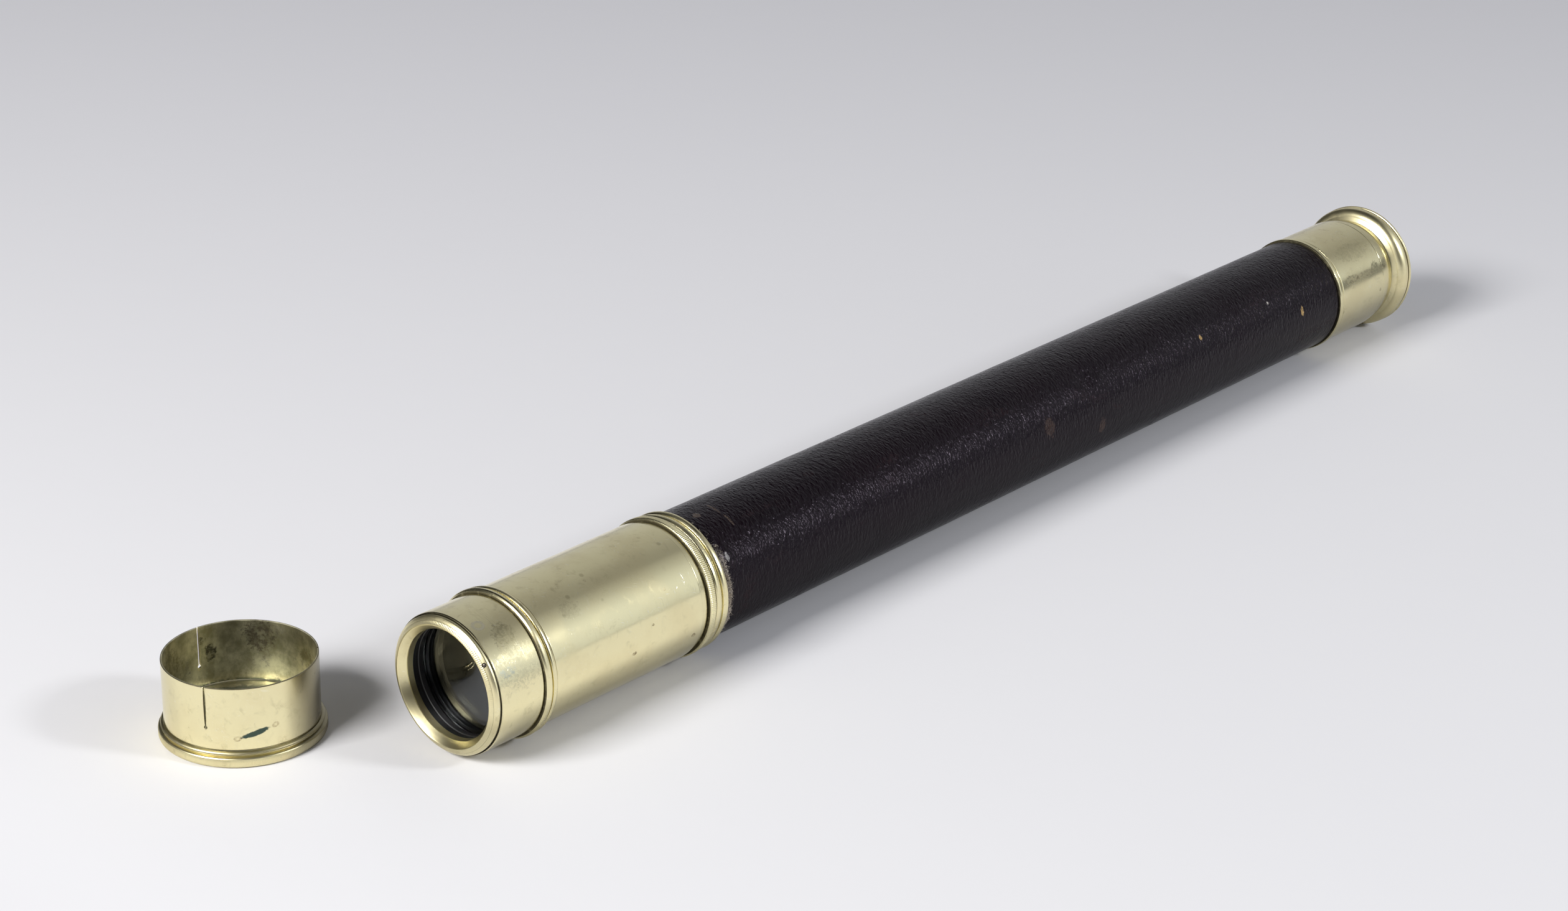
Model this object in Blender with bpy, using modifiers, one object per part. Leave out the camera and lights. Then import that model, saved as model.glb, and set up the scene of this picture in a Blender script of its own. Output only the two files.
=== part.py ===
"""A single-draw brass telescope with a leather-covered barrel, a sliding ray shade and a push-on cap.

The telescope lies level on its two largest rims, with its cap standing beside it, closed end down.
Stations are millimetres along the optical axis from the front lip of the lens ring.  The objective
looks along -X, and the eye end points along +X.  The origin is on the surface that the set stands
on, under the middle of its bounding box.
"""
import math

import bmesh
import bpy
from mathutils import Vector

MM = 0.001                  # the dimensions below are in millimetres, the meshes in metres
GAP = 0.3                   # clearance between pieces that touch or run on each other
ROUND = 32                  # flats round a large turned piece
ROUND_SMALL = 20            # flats round an inner or a small turned piece
SMOOTH_ANGLE = math.radians(35)
MERGE = 0.00001

# Heights and radii that set the whole telescope
REST_RADIUS = 31.3          # front band and eye rim, the two rims that it lies on
BARREL_RADIUS = 28.0        # outside of the leather
LEATHER_THICK = 0.8
TUBE_WALL = 0.7
SHADE_RADIUS = 29.65
SHADE_WALL = 0.5
OBJECTIVE_TUBE_RADIUS = 28.0
JOINT_RADIUS = 30.5
FRONT_COLLAR_RADIUS = 30.2
REAR_COLLAR_RADIUS = 28.35
DRAW_RADIUS = 24.6
CLEAR_APERTURE = 23.5       # radius of the opening in front of the objective

# Stations along the axis
RING_RIM = 2.1              # where the domed lens ring reaches its full radius
RING_REAR = 6.2             # the ring's rear face, just inside the mouth of the shade
SLEEVE_FRONT = 3.3
BAND_FRONT = 26.4
BAND_GROOVE = 29.8
BAND_REAR = 33.1
SHADE_STEP = 117.6
SHADE_REAR = 121.0
JOINT_FRONT = SHADE_REAR + GAP
JOINT_REAR = 125.2
COLLAR_GROOVE = 129.5
LEATHER_FRONT = 133.4
LEATHER_REAR = 598.1
GUIDE_FRONT = 594.0         # the draw guide's front face, which the draw's stop ring meets
REAR_GROOVE = 601.8
END_RING_FRONT = 640.4
END_RING_REAR = 652.3
FLANGE_FRONT = END_RING_REAR + GAP
FLANGE_REAR = 660.4
NECK_REAR = FLANGE_FRONT + 4.0      # where the flange opens out behind the draw tube's end
EYE_END = 662.4

DRAW_TRAVEL = 200.0         # how far the draw tube pulls out from rest

# The cap, standing on its closed end beside the objective
CAP_X = -36.3               # measured along the axis from the lens ring's lip
CAP_Y = 76.5                # to the left of the axis, seen from the eye end
CAP_INNER = 30.25
CAP_WALL = 0.65
CAP_HEIGHT = 33.4
CAP_BASE_RADIUS = 33.3
CAP_FLOOR = 6.6
CAP_GROOVE = 5.2            # height of the groove under the bead
SLIT_COUNT = 3
SLIT_LENGTH = 17.3
SLIT_WIDTH = 0.6
SLIT_HOLE = 0.75            # radius of the small hole that each slit ends in
SLIT_START = math.radians(-37)

# The eyepiece shutter
SHUTTER_FLOOR = 658.6       # station of the eye plate's flat floor, which the shutter turns on
SHUTTER_THICK = 0.8
PIVOT_HEIGHT = 10.5         # pivot above the optical axis
PIVOT_RADIUS = 1.0
EYE_HOLE = 4.5

BOX_FRONT = CAP_X - CAP_BASE_RADIUS
BOX_LEFT = CAP_Y + CAP_BASE_RADIUS
CENTRE_X = (BOX_FRONT + EYE_END) / 2
CENTRE_Y = (BOX_LEFT - REST_RADIUS) / 2

PALETTE = {
    # name: (colour, metallic, roughness)
    "lacquered_brass": ((0.72, 0.64, 0.42), 1.0, 0.22),
    "inner_brass": ((0.55, 0.47, 0.28), 1.0, 0.45),
    "blackened_brass": ((0.02, 0.02, 0.02), 0.4, 0.6),
    "steel": ((0.35, 0.33, 0.3), 1.0, 0.4),
    "leather": ((0.022, 0.018, 0.024), 0.0, 0.5),
    "cloth": ((0.05, 0.03, 0.03), 0.0, 0.9),
    "glass": ((0.85, 0.9, 0.92), 0.0, 0.05),
}


def clear_scene():
    """Remove whatever objects the scene starts with."""
    for obj in list(bpy.data.objects):
        bpy.data.objects.remove(obj, do_unlink=True)


def new_collection(name):
    collection = bpy.data.collections.new(name)
    bpy.context.scene.collection.children.link(collection)
    return collection


def material_for(name, finish):
    """A Principled material of its own for the piece called name."""
    colour, metallic, roughness = PALETTE[finish]
    material = bpy.data.materials.new(name + "_" + finish)
    material.use_nodes = True
    shader = material.node_tree.nodes["Principled BSDF"]
    shader.inputs["Base Color"].default_value = (*colour, 1.0)
    shader.inputs["Metallic"].default_value = metallic
    shader.inputs["Roughness"].default_value = roughness
    if finish == "glass":
        shader.inputs["Transmission Weight"].default_value = 1.0
        shader.inputs["IOR"].default_value = 1.52
    material.diffuse_color = (*colour, 1.0)
    return material


def bake(obj):
    """Give obj the mesh that its modifiers make, shaded smooth up to SMOOTH_ANGLE."""
    bpy.context.view_layer.update()
    evaluated = obj.evaluated_get(bpy.context.evaluated_depsgraph_get())
    mesh = bpy.data.meshes.new_from_object(evaluated)
    obj.modifiers.clear()
    obj.data = mesh
    mesh.name = obj.name
    mesh.shade_smooth()
    mesh.set_sharp_from_angle(angle=SMOOTH_ANGLE)


def profile_mesh(name, points, closed):
    """An outline in the XZ plane: x is the radius and z the station, both in millimetres."""
    verts = [(radius * MM, 0.0, station * MM) for station, radius in points]
    edges = [(i, i + 1) for i in range(len(verts) - 1)]
    if closed:
        edges.append((len(verts) - 1, 0))
    mesh = bpy.data.meshes.new(name)
    mesh.from_pydata(verts, edges, [])
    return mesh


def revolve(name, points, closed, segments, collection):
    """Turn an outline round its own Z axis.  Its outer side runs from high stations to low."""
    obj = bpy.data.objects.new(name, profile_mesh(name, points, closed))
    collection.objects.link(obj)
    screw = obj.modifiers.new("Turn", "SCREW")
    screw.axis = "Z"
    screw.angle = math.tau
    screw.steps = segments
    screw.render_steps = segments
    screw.use_merge_vertices = True
    screw.merge_threshold = MERGE
    bake(obj)
    return obj


def ring(name, finish, parent, outer, inner, segments=ROUND):
    """A turned ring on the optical axis; outer and inner list (station, radius), front to rear."""
    obj = revolve(name, outer[::-1] + inner, True, segments, parts)
    place_on_axis(obj, parent, finish)
    return obj


def disc(name, finish, parent, outer, segments=ROUND_SMALL):
    """A turned solid that closes on the optical axis; outer lists (station, radius), front to rear."""
    obj = revolve(name, outer[::-1], False, segments, parts)
    place_on_axis(obj, parent, finish)
    return obj


def tube(name, finish, parent, front, rear, outer_radius, inner_radius, segments=ROUND):
    outer = [(front, outer_radius), (rear, outer_radius)]
    inner = [(front, inner_radius), (rear, inner_radius)]
    return ring(name, finish, parent, outer, inner, segments)


def place_on_axis(obj, parent, finish):
    """Lay a turned piece along the telescope: its own Z becomes the row's X."""
    obj.parent = parent
    obj.rotation_euler = (0.0, math.pi / 2, 0.0)
    obj.data.materials.append(material_for(obj.name, finish))


def empty(name, location, parent=None):
    obj = bpy.data.objects.new(name, None)
    parts.objects.link(obj)
    obj.location = [value * MM for value in location]
    obj.parent = parent
    return obj


def cutter(obj):
    """Keep obj as a tool for cutting, out of the finished set."""
    obj.hide_render = True
    obj.display_type = "WIRE"
    return obj


def boolean(obj, tool, operation):
    modifier = obj.modifiers.new(tool.name, "BOOLEAN")
    modifier.operation = operation
    modifier.solver = "EXACT"
    modifier.object = tool


def arc(centre, radius, start, end, steps):
    """Points (station, radius) on an arc; angles in degrees, 0 towards the eye, 90 outwards."""
    points = []
    for i in range(steps + 1):
        angle = math.radians(start + (end - start) * i / steps)
        points.append((centre[0] + radius * math.cos(angle), centre[1] + radius * math.sin(angle)))
    return points


def lens_outline(front, thick, radius, front_bulge, rear_bulge, steps=4):
    """A lens's outer outline, axis to axis; each bulge is how far its face stands proud in the middle."""
    points = []
    for i in range(steps):
        r = radius * i / steps
        points.append((front - front_bulge * (1 - (r / radius) ** 2), r))
    points.append((front, radius))
    points.append((front + thick, radius))
    for i in range(steps - 1, -1, -1):
        r = radius * i / steps
        points.append((front + thick + rear_bulge * (1 - (r / radius) ** 2), r))
    return points


def take_new_object(name, collection):
    """Name the primitive that was just added and move it to collection."""
    obj = bpy.context.object
    obj.name = name
    for owner in list(obj.users_collection):
        owner.objects.unlink(obj)
    collection.objects.link(obj)
    return obj


def small_cylinder(name, radius, depth, collection, segments=12):
    """A cylinder at the origin whose own axis is Z."""
    bpy.ops.mesh.primitive_cylinder_add(vertices=segments, radius=radius * MM, depth=depth * MM)
    return take_new_object(name, collection)


def build_objective(body):
    """The lens ring, the cell with its two glasses, and the tube that carries them."""
    lip = 25.4
    rim = 28.85
    outer = [(0.0, lip + 0.7), (0.5, 27.2), (1.3, 28.3), (RING_RIM, rim), (RING_REAR, rim)]
    inner = [(0.0, lip), (1.6, 24.3), (4.8, CLEAR_APERTURE), (RING_REAR, CLEAR_APERTURE)]
    lens_ring = ring("lens_ring", "lacquered_brass", body, outer, inner)

    # A grub screw on the ring's sloping shoulder locks it to the cell
    hole_angle = math.radians(37)       # above level, on the -Y side
    slope = math.radians(45)
    shoulder = (1.2, 27.9)
    hole_depth = 2.0
    flats = 10
    tool = small_cylinder("ring_screw_hole", 0.95, 2 * hole_depth, cutters, flats)
    screw = small_cylinder("ring_screw", 0.65, 1.2, parts, flats)
    for obj, sink in ((tool, 0.0), (screw, 1.0)):
        radius = shoulder[1] - sink * math.sin(slope)
        station = shoulder[0] + sink * math.cos(slope)
        obj.parent = body
        obj.location = (station * MM, -radius * math.cos(hole_angle) * MM,
                        radius * math.sin(hole_angle) * MM)
        outward = (-math.cos(slope), -math.sin(slope) * math.cos(hole_angle),
                   math.sin(slope) * math.sin(hole_angle))
        obj.rotation_mode = "QUATERNION"
        obj.rotation_quaternion = direction_quaternion(outward)
    boolean(lens_ring, cutter(tool), "DIFFERENCE")
    screw.data.materials.append(material_for("ring_screw", "steel"))

    cell_front = RING_REAR + GAP
    cell_rear = 26.0
    cell_radius = OBJECTIVE_TUBE_RADIUS - TUBE_WALL - GAP
    seat = 12.0
    glass_radius = 25.6
    ring("objective_cell", "blackened_brass", body,
         [(cell_front, cell_radius), (cell_rear, cell_radius)],
         [(cell_front, CLEAR_APERTURE), (seat, CLEAR_APERTURE), (seat, glass_radius + GAP),
          (cell_rear, glass_radius + GAP)])
    crown_front = seat + GAP
    crown_thick = 2.4
    crown_front_bulge = 1.6
    crown_rear_bulge = 1.2
    disc("crown_lens", "glass", body,
         lens_outline(crown_front, crown_thick, glass_radius, crown_front_bulge, crown_rear_bulge),
         ROUND)
    # The flint's front face is a little hollower than the crown's rear face stands proud
    flint_front = crown_front + crown_thick + GAP
    flint_thick = 2.6
    flint_hollow = 1.3
    flint_rear_bulge = 0.3
    disc("flint_lens", "glass", body,
         lens_outline(flint_front, flint_thick, glass_radius, -flint_hollow, flint_rear_bulge),
         ROUND)
    retainer_front = flint_front + flint_thick + 2 * GAP
    retainer_length = 3.0
    tube("lens_retainer", "blackened_brass", body, retainer_front,
         retainer_front + retainer_length, glass_radius, CLEAR_APERTURE + 0.5)

    # The objective tube runs under the shade, from the cell to the joint
    tube("objective_tube", "lacquered_brass", body, cell_front, JOINT_REAR - 1.0,
         OBJECTIVE_TUBE_RADIUS, OBJECTIVE_TUBE_RADIUS - TUBE_WALL)


def direction_quaternion(direction):
    """The turn that takes +Z to direction."""
    return Vector(direction).to_track_quat("Z", "Y")


def build_barrel(body):
    """The joint ring and collars, the main tube, its leather and the light stops inside it."""
    under_leather = BARREL_RADIUS - LEATHER_THICK - GAP
    tube_inner = under_leather - TUBE_WALL
    tube_front = JOINT_REAR + GAP
    joint_bore = OBJECTIVE_TUBE_RADIUS + GAP
    tube("joint_ring", "lacquered_brass", body, JOINT_FRONT, JOINT_REAR - GAP / 2,
         JOINT_RADIUS, joint_bore)
    collar_inner = under_leather + GAP
    groove = 0.45
    ring("front_collar", "lacquered_brass", body,
         [(tube_front - GAP / 2, FRONT_COLLAR_RADIUS),
          (COLLAR_GROOVE - groove, FRONT_COLLAR_RADIUS),
          (COLLAR_GROOVE, FRONT_COLLAR_RADIUS - 2 * groove),
          (COLLAR_GROOVE + groove, FRONT_COLLAR_RADIUS),
          (LEATHER_FRONT - GAP, FRONT_COLLAR_RADIUS - 0.2)],
         [(tube_front - GAP / 2, collar_inner), (LEATHER_FRONT - GAP, collar_inner)])
    tube("barrel_tube", "inner_brass", body, tube_front, END_RING_FRONT - 1.0,
         under_leather, tube_inner)
    tube("leather_cover", "leather", body, LEATHER_FRONT, LEATHER_REAR,
         BARREL_RADIUS, BARREL_RADIUS - LEATHER_THICK)

    # Light stops, ahead of where the draw tube reaches when it is pushed home
    stop_radius = tube_inner - GAP
    stop_inner = stop_radius - 0.8
    stop_web = 1.0
    stop_length = 7.0
    for index, (station, opening) in enumerate(((215.0, 17.5), (315.0, 13.0)), start=1):
        ring("barrel_stop_%d" % index, "blackened_brass", body,
             [(station, stop_radius), (station + stop_length, stop_radius)],
             [(station, opening), (station + stop_web, opening),
              (station + stop_web, stop_inner), (station + stop_length, stop_inner)])

    # The rear collar, its end ring and the cloth-lined guide that the draw tube runs in
    rear_front = LEATHER_REAR + GAP
    lip_radius = REAR_COLLAR_RADIUS + 0.65
    groove = 0.5
    guide_outer = tube_inner - GAP
    guide_inner = DRAW_RADIUS + GAP
    ring("rear_collar", "lacquered_brass", body,
         [(rear_front, lip_radius - 0.3), (rear_front + 0.7, lip_radius),
          (REAR_GROOVE - groove, lip_radius), (REAR_GROOVE, REAR_COLLAR_RADIUS - groove),
          (REAR_GROOVE + groove, REAR_COLLAR_RADIUS),
          (END_RING_FRONT - GAP, REAR_COLLAR_RADIUS)],
         [(rear_front, collar_inner), (END_RING_FRONT - GAP, collar_inner)])
    ring("rear_end_ring", "lacquered_brass", body,
         [(END_RING_FRONT, REAR_COLLAR_RADIUS - 0.25),
          (END_RING_FRONT + 5.5, REAR_COLLAR_RADIUS - 0.6),
          (END_RING_FRONT + 10.0, 27.0), (END_RING_REAR, 25.9)],
         [(END_RING_FRONT, collar_inner), (END_RING_FRONT + 2.0, collar_inner),
          (END_RING_FRONT + 2.0, guide_inner), (END_RING_REAR, guide_inner)])
    tube("draw_guide", "cloth", body, GUIDE_FRONT, END_RING_FRONT - 1.0, guide_outer, guide_inner)


def build_shade(body):
    """The ray shade: front sleeve for the cap, the band that it lies on, tube and rear bush."""
    inner = SHADE_RADIUS - SHADE_WALL
    seat_radius = 29.55
    ring("shade_sleeve", "lacquered_brass", body,
         [(SLEEVE_FRONT, seat_radius - 0.25), (SLEEVE_FRONT + 0.6, seat_radius),
          (BAND_FRONT - GAP, seat_radius)],
         [(SLEEVE_FRONT, inner), (BAND_FRONT - GAP, inner)])
    groove = 0.4
    ring("shade_band", "lacquered_brass", body,
         [(BAND_FRONT, 30.1), (BAND_FRONT + 1.0, REST_RADIUS), (BAND_GROOVE - groove, REST_RADIUS),
          (BAND_GROOVE, REST_RADIUS - 1.0), (BAND_GROOVE + groove, 31.0),
          (BAND_REAR - 1.0, 31.0), (BAND_REAR, 30.3)],
         [(BAND_FRONT, inner), (BAND_REAR, inner)])
    tube("shade_tube", "lacquered_brass", body, BAND_REAR + GAP, SHADE_STEP - GAP,
         SHADE_RADIUS, inner)
    bush_inner = OBJECTIVE_TUBE_RADIUS + GAP
    bush_front = SHADE_STEP - 6.6
    ring("shade_bush", "lacquered_brass", body,
         [(bush_front, inner - GAP), (SHADE_STEP, inner - GAP), (SHADE_STEP, 29.2),
          (SHADE_REAR, 28.9)],
         [(bush_front, bush_inner), (SHADE_REAR, bush_inner)])


def build_draw(body):
    """The draw tube, its stop ring and all that it carries.  Returns the eye plate."""
    draw_inner = DRAW_RADIUS - TUBE_WALL
    stop_rear = GUIDE_FRONT - DRAW_TRAVEL - 0.5
    stop_front = stop_rear - 8.0
    stop_inner = draw_inner - 1.0
    tube("draw_tube", "lacquered_brass", body, stop_rear + GAP, NECK_REAR - GAP,
         DRAW_RADIUS, draw_inner)
    tube("draw_stop_ring", "inner_brass", body, stop_front, stop_rear, 25.7, stop_inner)
    insert_radius = draw_inner - GAP
    insert_inner = insert_radius - 0.8
    build_erector(body, stop_rear + 12.0, insert_radius, insert_inner)
    build_eyepiece(body, insert_radius, insert_inner)
    return build_eye_end(body)


def build_erector(body, front, radius, inner):
    """The erecting tube: two cells, each with a lens, and a stop between them."""
    length = 92.0
    tube("erector_tube", "inner_brass", body, front, front + length, radius, inner)
    cell_radius = inner - GAP
    cell_length = 10.0
    web = 2.0                   # thickness of the cell's front, which the lens bears on
    lens_radius = 13.0
    lens_thick = 3.0
    bulge = 0.8
    for place, offset in (("front", web), ("rear", length - web - cell_length)):
        start = front + offset
        end = start + cell_length
        ring("erector_cell_" + place, "blackened_brass", body,
             [(start, cell_radius), (end, cell_radius)],
             [(start, lens_radius - 1.5), (start + web, lens_radius - 1.5),
              (start + web, lens_radius + GAP), (end, lens_radius + GAP)], ROUND_SMALL)
        disc("erector_lens_" + place, "glass", body,
             lens_outline(start + web + GAP + bulge, lens_thick, lens_radius, bulge, bulge, 3))
    stop = front + 44.0
    tube("erector_stop", "blackened_brass", body, stop, stop + 1.0, cell_radius, 4.0, ROUND_SMALL)


def build_eyepiece(body, radius, inner):
    """The eyepiece tube with the field lens, the field stop and the eye lens in its cell."""
    tube("eyepiece_tube", "inner_brass", body, 586.0, 656.0, radius, inner)
    fit = inner - GAP
    field_front = 590.0
    field_thick = 5.0
    field_bulge = 3.0
    disc("field_lens", "glass", body,
         lens_outline(field_front, field_thick, fit, field_bulge, 0.0, 4))
    stop = 618.0
    tube("field_stop", "blackened_brass", body, stop, stop + 1.2, fit, 11.0, ROUND_SMALL)
    lens_radius = 9.0
    lens_front = 646.0
    lens_thick = 3.6
    cell_front = lens_front - 4.0
    cell_rear = cell_front + 12.0
    shoulder = lens_front + lens_thick + 3 * GAP
    ring("eye_lens_cell", "blackened_brass", body, [(cell_front, fit), (cell_rear, fit)],
         [(cell_front, lens_radius + GAP), (shoulder, lens_radius + GAP),
          (shoulder, EYE_HOLE + 2.0), (cell_rear, EYE_HOLE + 2.0)], ROUND_SMALL)
    disc("eye_lens", "glass", body, lens_outline(lens_front, lens_thick, lens_radius, 1.6, 0.0, 3))


def build_eye_end(body):
    """The flared flange, and the dished eye plate that closes its rear."""
    bead = 4.4                  # radius of the flare's round bead
    bead_middle = (FLANGE_REAR - bead / 2, 26.8)
    flare = arc(bead_middle, bead, 175.0, 90.0, 5)
    flange_outer = [(FLANGE_FRONT, 25.7)] + flare[1:]
    flange_outer += [(FLANGE_REAR - 0.5, 31.15), (FLANGE_REAR, 30.6)]
    seat = 26.1
    ring("eye_flange", "lacquered_brass", body, flange_outer,
         [(FLANGE_FRONT, DRAW_RADIUS + GAP), (NECK_REAR, DRAW_RADIUS + GAP),
          (NECK_REAR, seat + GAP), (FLANGE_REAR, seat + GAP)])
    plate_front = SHUTTER_FLOOR - 1.4
    rim_front = FLANGE_REAR + GAP
    chamfer = 0.5
    return ring("eye_plate", "lacquered_brass", body,
                [(plate_front, seat), (rim_front, seat), (rim_front, REST_RADIUS),
                 (EYE_END - chamfer, REST_RADIUS), (EYE_END, REST_RADIUS - chamfer)],
                [(plate_front, EYE_HOLE), (SHUTTER_FLOOR, EYE_HOLE), (SHUTTER_FLOOR, 22.0),
                 (EYE_END, 28.6)])


def leaf_outline(round_radius, tab_radius):
    """The shutter's outline in millimetres, hanging from its pivot at the origin: a round end
    over the eye hole, and a smaller one round the pivot."""
    taper = math.asin((round_radius - tab_radius) / PIVOT_HEIGHT)
    start, end = -math.pi - taper, taper
    outline = []
    for radius, drop, first, last, steps in (
            (round_radius, PIVOT_HEIGHT, start, end, 12),
            (tab_radius, 0.0, end, math.tau + start, 8)):
        for i in range(steps + 1):
            angle = first + (last - first) * i / steps
            outline.append((radius * math.cos(angle), radius * math.sin(angle) - drop))
    return outline


def build_shutter(draw, shutter_body, plate):
    """The leaf that swings over the eye hole, and the screw that it turns on."""
    leaf_front = SHUTTER_FLOOR + GAP
    leaf_middle = leaf_front + SHUTTER_THICK / 2
    outline = leaf_outline(6.6, 3.0)
    curve = bpy.data.curves.new("eye_shutter", "CURVE")
    curve.dimensions = "2D"
    curve.fill_mode = "BOTH"
    curve.extrude = SHUTTER_THICK / 2 * MM
    spline = curve.splines.new("POLY")
    spline.points.add(len(outline) - 1)
    for point, (y, z) in zip(spline.points, outline):
        point.co = (y * MM, z * MM, 0.0, 1.0)
    spline.use_cyclic_u = True
    shape = bpy.data.objects.new("eye_shutter_outline", curve)
    parts.objects.link(shape)
    bpy.context.view_layer.update()
    evaluated = shape.evaluated_get(bpy.context.evaluated_depsgraph_get())
    mesh = bpy.data.meshes.new_from_object(evaluated)
    bpy.data.objects.remove(shape, do_unlink=True)
    weld(mesh)
    leaf = bpy.data.objects.new("eye_shutter", mesh)
    parts.objects.link(leaf)
    leaf.parent = shutter_body
    # The outline's own X and Y become the row's Y and Z, so its thickness lies along the axis
    leaf.rotation_euler = (math.pi / 2, 0.0, math.pi / 2)
    leaf.location = (leaf_middle * MM, 0.0, 0.0)
    leaf.data.materials.append(material_for("eye_shutter", "lacquered_brass"))

    knob_length = 2.0           # from the leaf's middle to the knob's top
    knob = small_cylinder("shutter_knob_form", 1.3, knob_length, cutters)
    turn_to_axis(knob, shutter_body, leaf_middle + knob_length / 2, -PIVOT_HEIGHT - 3.6)
    boolean(leaf, cutter(knob), "UNION")
    hole_radius = PIVOT_RADIUS + GAP
    hole_depth = 8.0
    hole = small_cylinder("shutter_pivot_hole", hole_radius, hole_depth, cutters)
    turn_to_axis(hole, shutter_body, SHUTTER_FLOOR, 0.0)
    boolean(leaf, cutter(hole), "DIFFERENCE")
    plate_hole = small_cylinder("plate_pivot_hole", hole_radius, hole_depth, cutters)
    turn_to_axis(plate_hole, draw, SHUTTER_FLOOR, PIVOT_HEIGHT)
    boolean(plate, cutter(plate_hole), "DIFFERENCE")

    head_front = leaf_front + SHUTTER_THICK + GAP
    head_rear = head_front + 0.9
    head_radius = 2.2
    shank_front = SHUTTER_FLOOR - 1.2
    pivot = revolve("shutter_pivot",
                    [(head_rear, 0.0), (head_rear, head_radius - 0.2), (head_front, head_radius),
                     (head_front, PIVOT_RADIUS), (shank_front, PIVOT_RADIUS),
                     (shank_front, 0.0)], False, 12, parts)
    place_on_axis(pivot, draw, "steel")
    pivot.location = (0.0, 0.0, PIVOT_HEIGHT * MM)


def weld(mesh):
    """Join the loose caps of a filled curve to its sides."""
    work = bmesh.new()
    work.from_mesh(mesh)
    bmesh.ops.remove_doubles(work, verts=work.verts, dist=MERGE)
    bmesh.ops.recalc_face_normals(work, faces=work.faces)
    work.to_mesh(mesh)
    work.free()


def turn_to_axis(obj, parent, station, height):
    """Lay a cylinder along the optical axis at a station, height millimetres above its parent."""
    obj.parent = parent
    obj.rotation_euler = (0.0, math.pi / 2, 0.0)
    obj.location = (station * MM, 0.0, height * MM)


def build_cap(body):
    """The push-on cap: a thin slit sleeve on a turned end with a bead and a milled rim."""
    outer_radius = CAP_INNER + CAP_WALL
    sleeve_foot = CAP_FLOOR + GAP
    sleeve = revolve("cap_sleeve",
                     [(CAP_HEIGHT, outer_radius), (sleeve_foot, outer_radius),
                      (sleeve_foot, CAP_INNER), (CAP_HEIGHT, CAP_INNER)], True, ROUND, parts)
    sleeve.parent = body
    sleeve.data.materials.append(material_for("cap_sleeve", "lacquered_brass"))
    slit_foot = CAP_HEIGHT - SLIT_LENGTH
    middle_radius = CAP_INNER + CAP_WALL / 2
    through = 4.0               # depth of the cutting tools, which pass through the wall
    tall = 24.0                 # height of the slit's tool, which stands out above the sleeve
    for index in range(SLIT_COUNT):
        angle = SLIT_START + math.tau * index / SLIT_COUNT
        x = middle_radius * math.cos(angle)
        y = middle_radius * math.sin(angle)
        bpy.ops.mesh.primitive_cube_add(size=1.0)
        slot = take_new_object("slit_%d" % (index + 1), cutters)
        slot.scale = (through * MM, SLIT_WIDTH * MM, tall * MM)
        slot.location = (x * MM, y * MM, (slit_foot + tall / 2) * MM)
        slot.rotation_euler = (0.0, 0.0, angle)
        hole = small_cylinder("slit_hole_%d" % (index + 1), SLIT_HOLE, through, cutters, 10)
        hole.location = (x * MM, y * MM, slit_foot * MM)
        hole.rotation_euler = (0.0, math.pi / 2, angle)
        for tool in (slot, hole):
            tool.parent = body
            boolean(sleeve, cutter(tool), "DIFFERENCE")

    rim = CAP_BASE_RADIUS
    bead = outer_radius + 1.5   # the round bead between the sleeve and the milled rim
    chamfer = 1.2
    recess = 0.6                # the base is hollow inside its standing edge
    end = revolve("cap_end",
                  [(CAP_FLOOR, 0.0), (CAP_FLOOR, outer_radius + 0.4), (CAP_GROOVE + 0.6, bead),
                   (CAP_GROOVE, bead - 0.5), (CAP_GROOVE - 0.6, rim), (chamfer, rim),
                   (0.0, rim - chamfer), (0.0, 26.0), (recess, 25.0), (recess, 0.0)],
                  False, ROUND, parts)
    end.parent = body
    end.data.materials.append(material_for("cap_end", "lacquered_brass"))


clear_scene()
parts = new_collection("brass_telescope")
cutters = new_collection("cutters")

axis_frame = empty("telescope_axis", (-CENTRE_X, -CENTRE_Y, REST_RADIUS))
barrel_frame = empty("barrel_body", (0.0, 0.0, 0.0), axis_frame)
shade_frame = empty("shade_body", (0.0, 0.0, 0.0), axis_frame)
draw_frame = empty("draw_body", (0.0, 0.0, 0.0), axis_frame)
shutter_frame = empty("shutter_body", (0.0, 0.0, PIVOT_HEIGHT), draw_frame)
cap_frame = empty("cap_body", (CAP_X - CENTRE_X, CAP_Y - CENTRE_Y, 0.0))

build_objective(barrel_frame)
build_barrel(barrel_frame)
build_shade(shade_frame)
eye_plate = build_draw(draw_frame)
build_shutter(draw_frame, shutter_frame, eye_plate)
build_cap(cap_frame)
bpy.context.view_layer.update()
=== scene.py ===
"""The looks of a brass telescope with a leather-covered barrel, and its lens cap.

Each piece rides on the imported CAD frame.  Turned pieces are lathed again with fine profiles.
Outlines are lists of (station, radius) in millimetres; a station is the distance along the
optical axis from the lens ring's front lip.
"""
import math
import random

import bmesh
import bpy
import numpy as np
from mathutils import Matrix, Vector, noise


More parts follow.
